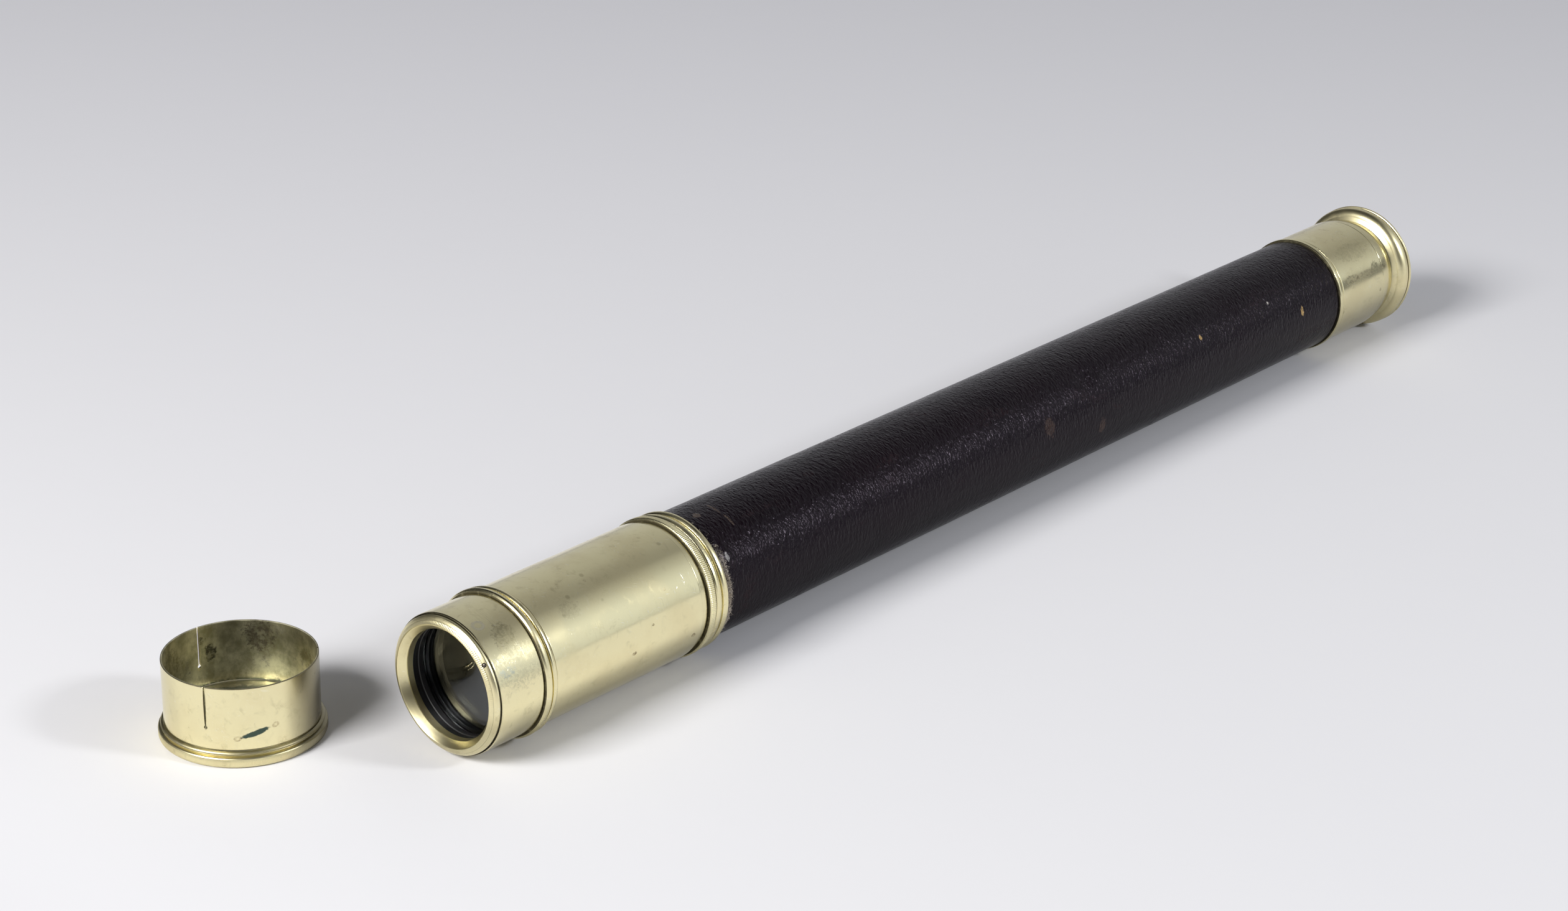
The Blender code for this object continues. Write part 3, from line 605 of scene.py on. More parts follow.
def cap_stains_and_shade(n, colour, rough):
    """The cap's tarnished inside, grime and painted shade at its slits, painted shade on the side
    away from the key lamp, and a dark stain low on its front.
    """
    inside = n.value_of("inside")
    mottle = n.band(n.noise(150, 5, 0.65, (1, 1, 0.8)), 0.34, 0.64)
    tarnished = n.mix(mottle, (0.33, 0.31, 0.21, 1), (0.68, 0.65, 0.49, 1))
    small = n.band(n.noise(520, 4, 0.7), 0.40, 0.62, 0.3, 1)
    for azimuth, height, sizes, tone, strength in CAP_PATCHES:
        turn = math.radians(azimuth)
        centre = on_cap(height, CAP_BORE * math.cos(turn), CAP_BORE * math.sin(turn))
        patch = n.spot(centre, sizes, wobble=1.7)
        tarnished = n.mix(n.times(patch, small, strength), tarnished, tone)
    dark = n.times(n.band(n.noise(90, 5, 0.7), 0.57, 0.68), small)
    tarnished = n.mix(n.times(dark, 0.6), tarnished, (0.07, 0.06, 0.045, 1))
    corner = n.times(n.height_band(6.9, 8.6, 1.0, 0.0), n.band(n.noise(260, 3), 0.38, 0.5),
                     n.height_band(6.5, 6.65))
    tarnished = n.mix(n.times(corner, 0.9), tarnished, VERDIGRIS)
    colour = n.mix(n.times(inside, 0.93), colour, tarnished)
    rough = n.plus(rough, n.times(inside, n.plus(0.2, n.times(dark, 0.25))))

    # Grime and painted shade along both sides of the slits
    middle = Vector(on_cap(0, 0, 0))
    for angle in SLIT_ANGLES:
        turn = math.radians(angle)
        centre = middle + Vector((CAP_MIDDLE * math.cos(turn), CAP_MIDDLE * math.sin(turn),
                                  25.0)) * MM
        near = n.spot(centre, (3.0, 0.55, 9.6), 0.3, ((0, 0, -turn),))
        colour = n.mix(n.times(near, 0.85), colour, (0.10, 0.07, 0.03, 1))
        rough = n.plus(rough, n.times(near, 0.2))

    # Painted shade: the side away from the key lamp is darker all over
    outside = n.minus(1.0, inside)
    side = n.add("ShaderNodeVectorMath", {"operation": "DOT_PRODUCT"})
    n.put(side, "0", n.place(location=(-CAP_AXIS.x, -CAP_AXIS.y, 0)))
    turn = math.radians(SHADE_PAINTED_SIDE)
    n.put(side, "1", (math.cos(turn), math.sin(turn), 0))
    painted_side_shade = n.times(n.band(side.outputs["Value"], 19.5 * MM, 29 * MM), outside)
    colour = n.mix(n.times(painted_side_shade, 0.85), colour, (0.25, 0.225, 0.145, 1))

    # The stain leans, and has a brown ring at each end
    azimuth, lean = math.radians(STAIN_AZIMUTH), math.radians(15)
    centre = Vector(on_cap(STAIN_HEIGHT, CAP_RADIUS * math.cos(azimuth),
                           CAP_RADIUS * math.sin(azimuth)))
    along = Vector((-math.cos(lean) * math.sin(azimuth), math.cos(lean) * math.cos(azimuth),
                    math.sin(lean)))
    turns = ((0, 0, -azimuth), (-lean, 0, 0))
    stain = n.spot(centre, (3, 6.0, 1.15), 0.8, turns)
    colour = n.mix(n.times(stain, outside, 0.95), colour, VERDIGRIS)
    rough = n.plus(rough, n.times(stain, outside, 0.35))
    for offset in (-7.4, 8.2):
        reach = n.reach(centre + along * offset * MM, (3, 1.5, 1.1), 0.5, turns)
        ring = n.times(n.band(reach, 0.3, 0.8), n.band(reach, 1.25, 0.9), outside, small)
        colour = n.mix(n.times(ring, 0.6), colour, (0.30, 0.20, 0.09, 1))
    return colour, n.plus(rough, 0.0, clamp=True)


def black_paint(name):
    """Matte blackened brass, rubbed a little on its edges."""
    n = new_nodes(name)
    worn = n.band(n.noise(420, 4, 0.6), 0.66, 0.8)
    edge = n.times(n.band(n.value_of("hollow"), -0.12, -0.4), 0.3)
    show = n.math("MAXIMUM", n.times(worn, 0.15), edge)
    colour = n.mix(show, (0.006, 0.006, 0.007, 1), (0.14, 0.12, 0.08, 1))
    normal = n.bump(n.noise(1800, 3), 0.00004, 0.4)
    return n.finish(Base_Color=colour, Metallic=n.times(show, 0.8), Roughness=0.38, Normal=normal)


def glass(name, tint, index):
    """Polished optical glass with a trace of dust; index is how strongly it bends light."""
    n = new_nodes(name)
    dust = n.band(n.noise(900, 4, 0.7), 0.66, 0.85)
    return n.finish(Base_Color=tint, Roughness=n.times(dust, 0.01), Transmission_Weight=1.0,
                    IOR=index)


def leather(name):
    """Dark morocco: pebble grain with glossy crests, scuffed brown and tan here and there, with a
    painted highlight on the blister.
    """
    n = new_nodes(name)
    cells = n.add("ShaderNodeTexVoronoi", {"feature": "SMOOTH_F1"}, Vector=n.place((1, 0.7, 0.7)),
                  Scale=760.0, Smoothness=0.3, Randomness=1.0)
    pebbles = n.minus(1.0, cells.outputs["Distance"])
    wrinkles = n.noise(800, 2, 0.5, (1, 0.42, 0.42), 0.7)
    height = n.plus(n.times(wrinkles, 1.2), n.times(pebbles, 0.3))
    height = n.plus(height, n.times(n.noise(2600, 2, 0.5), 0.08))
    # Worn smoother low on the sides
    height = n.times(height, n.height_band(AXIS_UP - 2.0, AXIS_UP + 17.0, 0.3, 1.0))
    normal = n.bump(height, 0.0005, 1.0)
    rub = n.times(n.band(n.noise(62, 5, 0.65, (0.5, 1, 1)), 0.58, 0.70),
                  n.band(n.noise(800, 3, 0.6), 0.40, 0.62))
    tone = n.mix(n.noise(30, 3), (0.0010, 0.0003, 0.0011, 1), (0.0034, 0.0005, 0.0019, 1))
    colour = n.mix(n.times(rub, 0.2), tone, (0.045, 0.020, 0.020, 1))
    bare = n.times(n.band(n.noise(46, 6, 0.75), 0.70, 0.74), n.band(pebbles, 0.3, 0.7))
    colour = n.mix(n.times(bare, 0.7), colour, (0.30, 0.21, 0.13, 1))
    grain = n.band(n.noise(1300, 3, 0.7), 0.35, 0.6, 0.25, 1)
    for station, top, sizes, shade in LEATHER_SCUFFS_AND_SHEEN:
        scuff_and_sheen = n.spot(on_tube(station, top, LEATHER_RADIUS), sizes, wobble=1.6)
        colour = n.mix(n.times(scuff_and_sheen, grain), colour, shade)
    # The front edge is frayed pale where it shows beside the collar
    parts = n.add("ShaderNodeSeparateXYZ", Vector=n.place())
    uneven = n.times(n.minus(n.noise(900, 4, 0.7), 0.5), 0.007)
    frayed = n.plus(n.minus(parts.outputs[0], LIP + 136.6 * MM), uneven)
    frayed = n.band(frayed, 0.0006, -0.0002)
    frayed = n.times(frayed, n.height_band(AXIS_UP - 24.0, AXIS_UP - 12.0),
                     n.height_band(AXIS_UP + 22.0, AXIS_UP + 12.0),
                     n.band(n.noise(1700, 3, 0.7), 0.42, 0.58))
    colour = n.mix(n.times(frayed, 0.8), colour, (0.50, 0.44, 0.36, 1))
    rough = n.plus(0.18, n.times(n.plus(rub, frayed), 0.25))
    rough = n.plus(rough, n.times(n.noise(90, 3), 0.08), clamp=True)
    # Less shine underneath: partly dulled leather, partly painted shade standing in for the darker
    # reflections there
    polish_and_painted_shade = n.height_band(AXIS_UP - 14.0, AXIS_UP + 15.0, 0.045, 0.20)
    return n.finish(Base_Color=colour, Roughness=rough, Specular_IOR_Level=polish_and_painted_shade,
                    Specular_Tint=(1.0, 0.84, 1.0, 1), Normal=normal)


# Scuffs on the leather, and a painted highlight on its blister: station, angle from the top towards
# -Y, sizes in mm, colour
BROWN_RUB = (0.042, 0.025, 0.018, 1)
TAN = (0.50, 0.33, 0.13, 1)
PALE_SCUFF = (0.07, 0.052, 0.04, 1)
LEATHER_SCUFFS_AND_SHEEN = (
    (355.0, 72.5, (3.5, 3.0, 5.0), BROWN_RUB),
    (395.0, 95.0, (2.4, 2.4, 3.6), BROWN_RUB),
    (564.6, 74.7, (1.3, 1.5, 2.4), TAN),
    (480.0, 54.9, (1.1, 1.2, 1.5), TAN),
    (539.4, 52.0, (0.7, 0.8, 0.8), (0.55, 0.52, 0.46, 1)),
    (151.4, 9.0, (0.6, 4.5, 2.0), PALE_SCUFF),
    (151.8, 27.0, (0.6, 3.5, 3.5), PALE_SCUFF),
    (141.0, 8.0, (2.0, 1.6, 1.6), PALE_SCUFF),
    # A painted highlight: the pale grey on the blister by the front edge
    (138.4, 56.0, (1.0, 1.6, 2.2), (0.34, 0.33, 0.32, 1)),
)


def steel(name):
    """Dark, dull steel with turning marks."""
    n = new_nodes(name)
    marks = n.noise(5000, 2, 0.6, (1, 0.05, 1))
    colour = n.mix(n.noise(700, 3), (0.30, 0.27, 0.23, 1), (0.12, 0.10, 0.08, 1))
    rough = n.plus(0.28, n.times(marks, 0.2))
    return n.finish(Base_Color=colour, Metallic=1.0, Roughness=rough,
                    Normal=n.bump(marks, 0.00003, 0.3))


def felt(name):
    """Dark red cloth that lines the draw's guide."""
    n = new_nodes(name)
    fibres = n.noise(4200, 4, 0.8)
    colour = n.mix(fibres, (0.03, 0.015, 0.015, 1), (0.09, 0.05, 0.05, 1))
    return n.finish(Base_Color=colour, Roughness=0.95, Sheen_Weight=0.5,
                    Normal=n.bump(fibres, 0.0002, 0.8))


def fibre(name):
    """Pale torn leather fibres."""
    n = new_nodes(name)
    colour = n.mix(n.noise(1500, 2), (0.74, 0.68, 0.58, 1), (0.40, 0.32, 0.24, 1))
    return n.finish(Base_Color=colour, Roughness=0.6)


# Each brass below also sets how much painted shade darkens its underside
BRASS_TURNED = brass("brass_turned", roughness=0.24)
BRASS_RING = brass("brass_ring", roughness=0.27, dull=0.25, extra=hole_grime_and_shade)
BRASS_EYE = brass("brass_eye", roughness=0.29, dull=0.15)
BRASS_SHEET = brass("brass_sheet", roughness=0.14, grain=(0.03, 1.0, 1.0), sooty=True)
BRASS_SHADE = brass("brass_shade", roughness=0.14, grain=(0.03, 1.0, 1.0), underside_shade=0.68, sooty=True,
                    extra=shade_marks)
BRASS_REAR = brass("brass_rear", roughness=0.16, grain=(0.03, 1.0, 1.0), underside_shade=0.48,
                   underside_shade_top=9.0, sooty=True, extra=rear_marks)
BRASS_CAP = brass("brass_cap", roughness=0.17, grain=(0.03, 0.03, 1.0), underside_shade=1.0,
                  extra=cap_stains_and_shade)
BRASS_CAP_END = brass("brass_cap_end", roughness=0.22, dull=0.5, underside_shade=0.85, extra=cap_stains_and_shade)
BRASS_DRAW = brass("brass_draw", roughness=0.12, worn=0.5, grain=(0.03, 1.0, 1.0), sooty=True)
BRASS_DULL = brass("brass_dull", roughness=0.3, dull=0.7, sooty=True)
BLACK = black_paint("blackened_brass")
CROWN_GLASS = glass("crown_glass", (0.94, 0.97, 0.98, 1), 1.36)
FLINT_GLASS = glass("flint_glass", (0.95, 0.97, 0.94, 1), 1.2)
LEATHER = leather("leather")
STEEL = steel("steel")
FELT = felt("felt")
FIBRE = fibre("fibre")


def wear(obj, body, node, material):
    """Give a fine piece its material and body, and let it stand for its CAD node."""
    obj.data.materials.clear()
    obj.data.materials.append(material)
    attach(obj, body)
    if node:
        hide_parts(node)
    return obj


def flat(front, rear, radius):
    """The outline of a plain wall or bore."""
    return [(front, radius), (rear, radius)]


def moulding(station, rim, *moves):
    """Outline points, each so far behind a station and so far below a rim."""
    return [(station + along, rim - drop) for along, drop in moves]


def turned(node, body, slot, material, outer, inner=None, radius=0.25, **options):
    """A lathed piece in place of a CAD node."""
    piece = lathe(node + "_fine", outer, inner, radius, **options)
    return wear(piece, body, node, material)


def tube(node, body, slot, material, bore, radius=0.2, **options):
    """A plain tube in place of a CAD node, with that bore."""
    front, rear, outside = span(node)
    return turned(node, body, slot, material, flat(front, rear, outside),
                  flat(front, rear, bore), radius, **options)


def lens(node, body, front, thick, radius, front_bulge, rear_bulge, material):
    """A lens whose faces bulge forwards and backwards from its edge by so many millimetres."""
    rear, bevel = front + thick, 0.25
    rings = [(1 - (k / LENS_RINGS) ** 2, radius * k / LENS_RINGS) for k in range(LENS_RINGS)]
    outline = [(front - front_bulge * rise, r) for rise, r in rings]
    outline += [(front, radius - bevel), (front + bevel, radius), (rear - bevel, radius),
                (rear, radius - bevel)]
    outline += [(rear + rear_bulge * rise, r) for rise, r in rings[::-1]]
    return turned(node, body, "optical_glass", material, outline, None, 0.02)


# ---------------------------------------------------------------- objective end

def build_lens_ring():
    """The milled ring in front of the objective, with its screw hole and sunk screw."""
    _, rear, rim = span("lens_ring")
    teeth = 210
    outer = [(0.0, 25.95), (0.1, 26.12), (0.14, 26.25), (0.5, 26.95), (0.83, 27.35), (0.93, 27.38),
             (1.0, 27.55), (1.45, 28.2), (1.9, 28.62), (2.3, rim), (rear, rim)]
    inner = [(0.0, 25.5), (0.25, 25.25), (1.5, 24.2), (2.9, 23.15), (3.3, 23.0), (rear, 23.0)]
    ring = lathe("lens_ring_fine", outer, inner, 0.1, teeth * 5, longest=0.7,
                 shape=knurl(0.13, 0.86, 0.17, teeth), shade_painted_ends=False)
    # The screw hole in the shoulder, whose CAD screw says where it is
    low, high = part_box("ring_screw")
    middle = (low + high) / 2
    tilt = math.atan2(middle.z - AXIS_Z, middle.y - AXIS_Y)
    outward = Vector((-1, math.cos(tilt), math.sin(tilt))).normalized()
    cut(ring, cylinder_form(middle, outward, 0.95 * MM, 5 * MM))
    wear(ring, "barrel", "lens_ring", BRASS_RING)

    half = (high.x - low.x) / 2 + 0.2 * MM
    form = cylinder_form(middle, outward, 0.65 * MM, half * 1.1, 32)
    rims = [e for e in form.edges if e.is_manifold and e.calc_face_angle() > 1.0]
    bmesh.ops.bevel(form, geom=rims, offset=0.12 * MM, segments=3, affect="EDGES", profile=0.5)
    screw = add_object("ring_screw_fine", mesh_of(form, "ring_screw_fine"))
    turn = outward.to_track_quat("Z", "Y").to_matrix().to_4x4()
    cut(screw, box_form(middle + outward * half * 0.55, turn, (3, 0.22, 0.5)))
    wear(screw, "barrel", "ring_screw", STEEL)


def build_objective():
    """The cell, its two lenses and retaining ring, and the tube that the shade slides on."""
    front, rear, rim = span("objective_cell")
    turned("objective_cell", "barrel", "blackened_brass", BLACK, flat(front, rear, rim),
           [(front, 23.5), (8.5, 23.5), (8.7, 23.9), (9.6, 23.9), (9.8, 23.5), (12.0, 23.5),
            (12.0, 25.9), (rear, 25.9)], 0.15)
    lens("crown_lens", "barrel", 12.3, 2.4, 25.6, 1.6, 1.2, CROWN_GLASS)
    lens("flint_lens", "barrel", 15.0, 2.6, 25.6, -1.3, 0.3, FLINT_GLASS)
    front, rear, rim = span("lens_retainer")
    teeth = 180
    turned("lens_retainer", "barrel", "blackened_brass", BLACK, flat(front, rear, rim),
           flat(front, rear, 24.0), 0.2, segments=teeth * 4, longest=0.8,
           shape=knurl(front + 0.2, rear - 0.2, 0.2, teeth))
    tube("objective_tube", "barrel", "brass_lacquered", BRASS_SHEET, 27.3)


# ---------------------------------------------------------------- barrel

def build_joint():
    """The milled ring behind the shade, and the two rounded rings in front of the leather."""
    front, rear, rim = span("joint_ring")
    teeth = 230
    outer = (moulding(front, rim, (0, 0.9), (0.35, 0.15), (0.9, 0)) +
             moulding(rear, rim, (-0.9, 0), (-0.35, 0.15), (0, 0.9)))
    turned("joint_ring", "barrel", "brass_lacquered", BRASS_TURNED, outer,
           flat(front, rear, SHADE_GUIDE), 0.2, segments=teeth * 5, longest=0.5,
           shape=knurl(front + 0.15, rear - 0.15, 0.2, teeth))
    front, rear, rim = span("front_collar")
    outer = moulding(front, rim, (0, 1.3), (0.4, 0.5), (1.0, 0.12), (1.9, 0), (2.8, 0.2),
                     (3.5, 0.6), (3.75, 1.5), (4.25, 1.5), (4.5, 0.6), (5.1, 0.15), (6.0, 0),
                     (6.8, 0.1)) + moulding(rear, rim, (-0.4, 0.6), (0, 1.3))
    turned("front_collar", "barrel", "brass_lacquered", BRASS_TURNED, outer,
           flat(front, rear, BARREL_BORE))


# Dents and raised places in the leather: station, angle from the top towards -Y, reach along and
# round in mm, and height in mm
LEATHER_DENTS = (
    (138.6, 54.5, 3.0, 4.4, 0.60),
    (389.0, 44.0, 9.0, 5.0, -0.55),
    (397.0, 52.0, 5.0, 4.0, 0.35),
    (381.0, 50.0, 4.0, 3.5, 0.30),
    (322.0, 30.0, 14.0, 6.0, -0.15),
    (505.0, 35.0, 12.0, 5.0, -0.20),
    (230.0, 100.0, 10.0, 7.0, -0.18),
    (470.0, -60.0, 15.0, 8.0, -0.25),
    (250.0, -75.0, 12.0, 6.0, -0.20),
)
SEAM_ANGLE = math.radians(-118)     # the butt seam, low on the far side
LEATHER_ROW = 1.3                   # length of the leather mesh's faces


def leather_shape(station, radius, angle, inside):
    """Wrinkles, dents, the seam and the uneven cut edges of the leather."""
    front, rear, rim = span("leather_cover")
    offset = np.zeros(station.shape)
    for index in np.ndindex(station.shape):
        if inside[index]:
            continue
        s, a = station[index], angle[index]
        spot = Vector((s * 0.45, rim * math.cos(a), rim * math.sin(a)))
        value = 0.07 * noise.noise(spot / 9.0) + 0.045 * noise.noise(spot / 3.1)
        value += 0.03 * noise.noise(Vector((s, spot.y, spot.z)) / 1.9)
        offset[index] = value
    # Angle 0 of the lathe is +Y and 90 degrees is up; the dents count from the top towards -Y
    from_top = np.angle(np.exp(1j * (angle - math.pi / 2)))
    for s0, top, along, around, height in LEATHER_DENTS:
        arc = np.angle(np.exp(1j * (from_top - math.radians(top)))) * rim
        reach = ((station - s0) / along) ** 2 + (arc / around) ** 2
        offset += np.where(inside, 0.0, height * np.exp(-reach))
    seam = np.angle(np.exp(1j * (from_top - SEAM_ANGLE))) * rim
    offset += np.where(inside, 0.0, -0.35 * np.exp(-(seam / 0.45) ** 2)
                       + 0.12 * np.exp(-(seam / 2.2) ** 2))
    # The edges are turned under a little
    ends = np.minimum(station - front, rear - station)
    offset += np.where(inside, 0.0, -0.25 * np.exp(-(ends / 0.8) ** 2) + 0.06 * np.exp(
        -((ends - 2.4) / 1.2) ** 2))
    return np.minimum(offset, 0.75)


def build_fibres():
    """Pale fibres and torn bits where the leather's front edge frays at the collar."""
    front = span("leather_cover")[0]
    dice = random.Random(11)
    form = bmesh.new()
    for _ in range(560):
        top = dice.gauss(88, 22) if dice.random() < 0.85 else dice.uniform(10, 240)
        top = math.radians(top)
        base = LEATHER_RADIUS + dice.uniform(-0.1, 0.12)
        here = Vector((front + dice.uniform(-0.05, 2.6), base, top))
        heading = dice.uniform(0, math.tau)
        thick = dice.uniform(0.07, 0.15)
        previous = None
        for step in range(dice.randint(3, 6)):
            lift = 0.3 * step * dice.random()
            centre = Vector(on_axis(here.x, -(base + lift) * math.sin(here.z),
                                    (base + lift) * math.cos(here.z)))
            ring = []
            for corner in range(4):
                turn = math.tau * corner / 4
                side = Vector((math.cos(heading + math.pi / 2) * math.cos(turn),
                               -math.sin(here.z) * math.sin(turn),
                               math.cos(here.z) * math.sin(turn)))
                ring.append(form.verts.new(centre + side * thick * MM * (1 - 0.12 * step)))
            if previous:
                for corner in range(4):
                    form.faces.new((previous[corner], previous[(corner + 1) % 4],
                                    ring[(corner + 1) % 4], ring[corner]))
            previous = ring
            heading += dice.gauss(0, 0.5)
            length = dice.uniform(0.2, 0.5)
            here.x = min(max(here.x + length * math.cos(heading), front - 0.1), front + 4.2)
            here.z += length * math.sin(heading) / base
    mesh = mesh_of(form, "leather_fibres")
    tidy_mesh(mesh)
    wear(add_object("leather_fibres", mesh), "barrel", None, FIBRE)


def build_barrel():
    """The tube, its leather, the light stops inside, and the collar that the draw comes out of."""
    tube("barrel_tube", "barrel", "brass_inner", BRASS_DULL, 26.2)
    tube("leather_cover", "barrel", "leather", LEATHER, BARREL_BORE, 0.3, segments=224,
         longest=LEATHER_ROW, shape=leather_shape)
    build_fibres()
    for node, opening in (("barrel_stop_1", 17.5), ("barrel_stop_2", 13.0)):
        front, rear, rim = span(node)
        turned(node, "barrel", "blackened_brass", BLACK, flat(front, rear, rim),
               [(front, opening + 3.0), (front + 2.0, opening), (front + 2.6, opening),
                (front + 3.4, opening + 4.0), (rear, rim - 1.0)], 0.15)

    front, rear, rim = span("rear_collar")
    outer = moulding(front, rim, (0, 0.4), (0.5, 0.1), (1.1, 0), (2.3, 0), (2.9, 0.25),
                     (3.15, 1.2), (3.7, 1.2), (3.95, 0.75)) + flat(front + 4.6, rear, COLLAR_RADIUS)
    turned("rear_collar", "barrel", "brass_lacquered", BRASS_REAR, outer,
           flat(front, rear, BARREL_BORE), longest=3.0, shape=worked_outside(0.03, 9.0, 3.0))
    front, rear, rim = span("rear_end_ring")
    outer = moulding(front, rim, (0, 0.3), (0.35, 0), (2.6, 0.1), (5.8, 0.42), (8.4, 0.95),
                     (10.2, 1.5)) + moulding(rear, rim, (-0.7, 1.95), (0, 2.5))
    turned("rear_end_ring", "barrel", "brass_lacquered", BRASS_REAR, outer,
           flat(front, front + 2.0, BARREL_BORE) + flat(front + 2.0, rear, 24.9), 0.3)
    tube("draw_guide", "barrel", "guide_cloth", FELT, 24.9)


# ---------------------------------------------------------------- ray shade

def build_shade():
    """The shade's front sleeve, its moulded band, its tube and the stepped bush behind."""
    front, rear, rim = span("shade_sleeve")
    outer = [(front, SHADE_BORE + 0.12), (front + 0.25, rim - 0.1), (front + 0.7, rim),
             (front + 1.3, rim), (rear, rim)]
    turned("shade_sleeve", "shade", "brass_lacquered", BRASS_SHADE, outer,
           flat(front, rear, SHADE_BORE), 0.15, longest=2.0, shape=worked_outside(0.02, 8.0, 5.0))
    front, rear, rim = span("shade_band")
    outer = moulding(front, rim, (0, 1.3), (0.25, 0.75), (0.8, 0.2), (1.5, 0), (2.4, 0.05),
                     (2.95, 0.4), (3.15, 1.5), (3.65, 1.5), (3.85, 0.6), (4.3, 0.28),
                     (4.9, 0.22), (5.6, 0.4)) + moulding(rear, rim, (-0.5, 0.8), (-0.15, 1.4),
                                                         (0, 1.8))
    turned("shade_band", "shade", "brass_lacquered", BRASS_TURNED, outer,
           flat(front, rear, SHADE_BORE), 0.3)
    tube("shade_tube", "shade", "brass_lacquered", BRASS_SHADE, SHADE_BORE, 0.15, longest=2.5,
         shape=worked_outside(0.035, 11.0, 0.0))
    front, rear, rim = span("shade_bush")
    step, neck = rear - 3.4, 28.85
    outer = flat(front, step, neck) + moulding(step, rim, (0, 0.05), (0.2, 0))
    outer += moulding(rear, rim, (-0.9, 0.15), (0, 0.5))
    turned("shade_bush", "shade", "brass_lacquered", BRASS_TURNED, outer,
           flat(front, rear, SHADE_GUIDE), 0.15)


# ---------------------------------------------------------------- draw tube and eyepiece

def build_draw():
    """The draw tube with the erector and eyepiece inside, and the flared eye end."""
    tube("draw_tube", "draw", "brass_draw", BRASS_DRAW, 23.9, 0.15, longest=6.0,
         shape=worked_outside(0.015, 12.0, 7.0))
    tube("draw_stop_ring", "draw", "brass_inner", BRASS_DULL, 22.9)
    tube("erector_tube", "draw", "brass_inner", BRASS_DULL, 22.8, segments=SMALL)
    for end in ("front", "rear"):
        front, rear, rim = span("erector_cell_" + end)
        turned("erector_cell_" + end, "draw", "blackened_brass", BLACK, flat(front, rear, rim),
               flat(front, front + 2.0, 11.5) + flat(front + 2.0, rear, 13.3), 0.2, segments=SMALL)
        lens("erector_lens_" + end, "draw", front + 3.1, 3.0, 13.0, 0.8, 0.8, CROWN_GLASS)
    for node, opening in (("erector_stop", 4.0), ("field_stop", 11.0)):
        front, rear, rim = span(node)
        turned(node, "draw", "blackened_brass", BLACK, flat(front, rear, rim),
               [(front, opening + 0.4), (rear - 0.2, opening), (rear, opening)], 0.1,
               segments=SMALL)
    tube("eyepiece_tube", "draw", "brass_inner", BRASS_DULL, 22.8, segments=SMALL)
    lens("field_lens", "draw", 590.0, 5.0, 22.5, 3.0, 0.0, CROWN_GLASS)
    lens("eye_lens", "draw", 646.0, 3.6, 9.0, 1.6, 0.0, CROWN_GLASS)
    front, rear, rim = span("eye_lens_cell")
    turned("eye_lens_cell", "draw", "blackened_brass", BLACK, flat(front, rear, rim),
           flat(front, rear - 3.5, 9.3) + flat(rear - 3.5, rear, 6.5), 0.2, segments=SMALL)

    # The flared flange: a hollow neck, a bold round bead and a thin rim
    front, rear, rim = span("eye_flange")
    bead, bead_station, bead_middle = 4.4, 658.2, 26.8
    outer = [(front, 25.5), (front + 0.25, 25.7)]
    for step in range(1, 13):
        turn = math.radians(175 - 85 * step / 12)
        outer.append((bead_station + bead * math.cos(turn), bead_middle + bead * math.sin(turn)))
    outer += [(rear - 1.2, 31.15), (rear - 0.5, 30.85), (rear, 30.35)]
    turned("eye_flange", "draw", "brass_lacquered", BRASS_EYE, outer,
           flat(front, 656.6, 24.9) + flat(656.6, rear, 26.4), 0.2)

    front, rear, rim = span("eye_plate")
    floor = 658.6
    outer = [(front, 26.1), (660.7, 26.1), (660.7, rim - 0.5), (660.95, rim - 0.08), (661.3, rim)]
    outer += moulding(rear, rim, (-0.6, 0), (-0.2, 0.25), (0, 0.7))
    inner = [(front, 4.5), (floor - 0.5, 4.5), (floor, 5.1), (floor, 10.0), (floor, 16.0),
             (floor, 21.6), (floor + 0.35, 22.6), (floor + 1.6, 25.4), (rear - 1.1, 27.6),
             (rear - 0.3, 28.5), (rear, 29.3)]
    eye = lathe("eye_plate_fine", outer, inner, shade_painted_ends=False)
    cut(eye, cylinder_form(Vector(on_axis(floor, 0, PIVOT_UP)), (1, 0, 0), 1.3 * MM, 6 * MM))
    wear(eye, "draw", "eye_plate", BRASS_EYE)


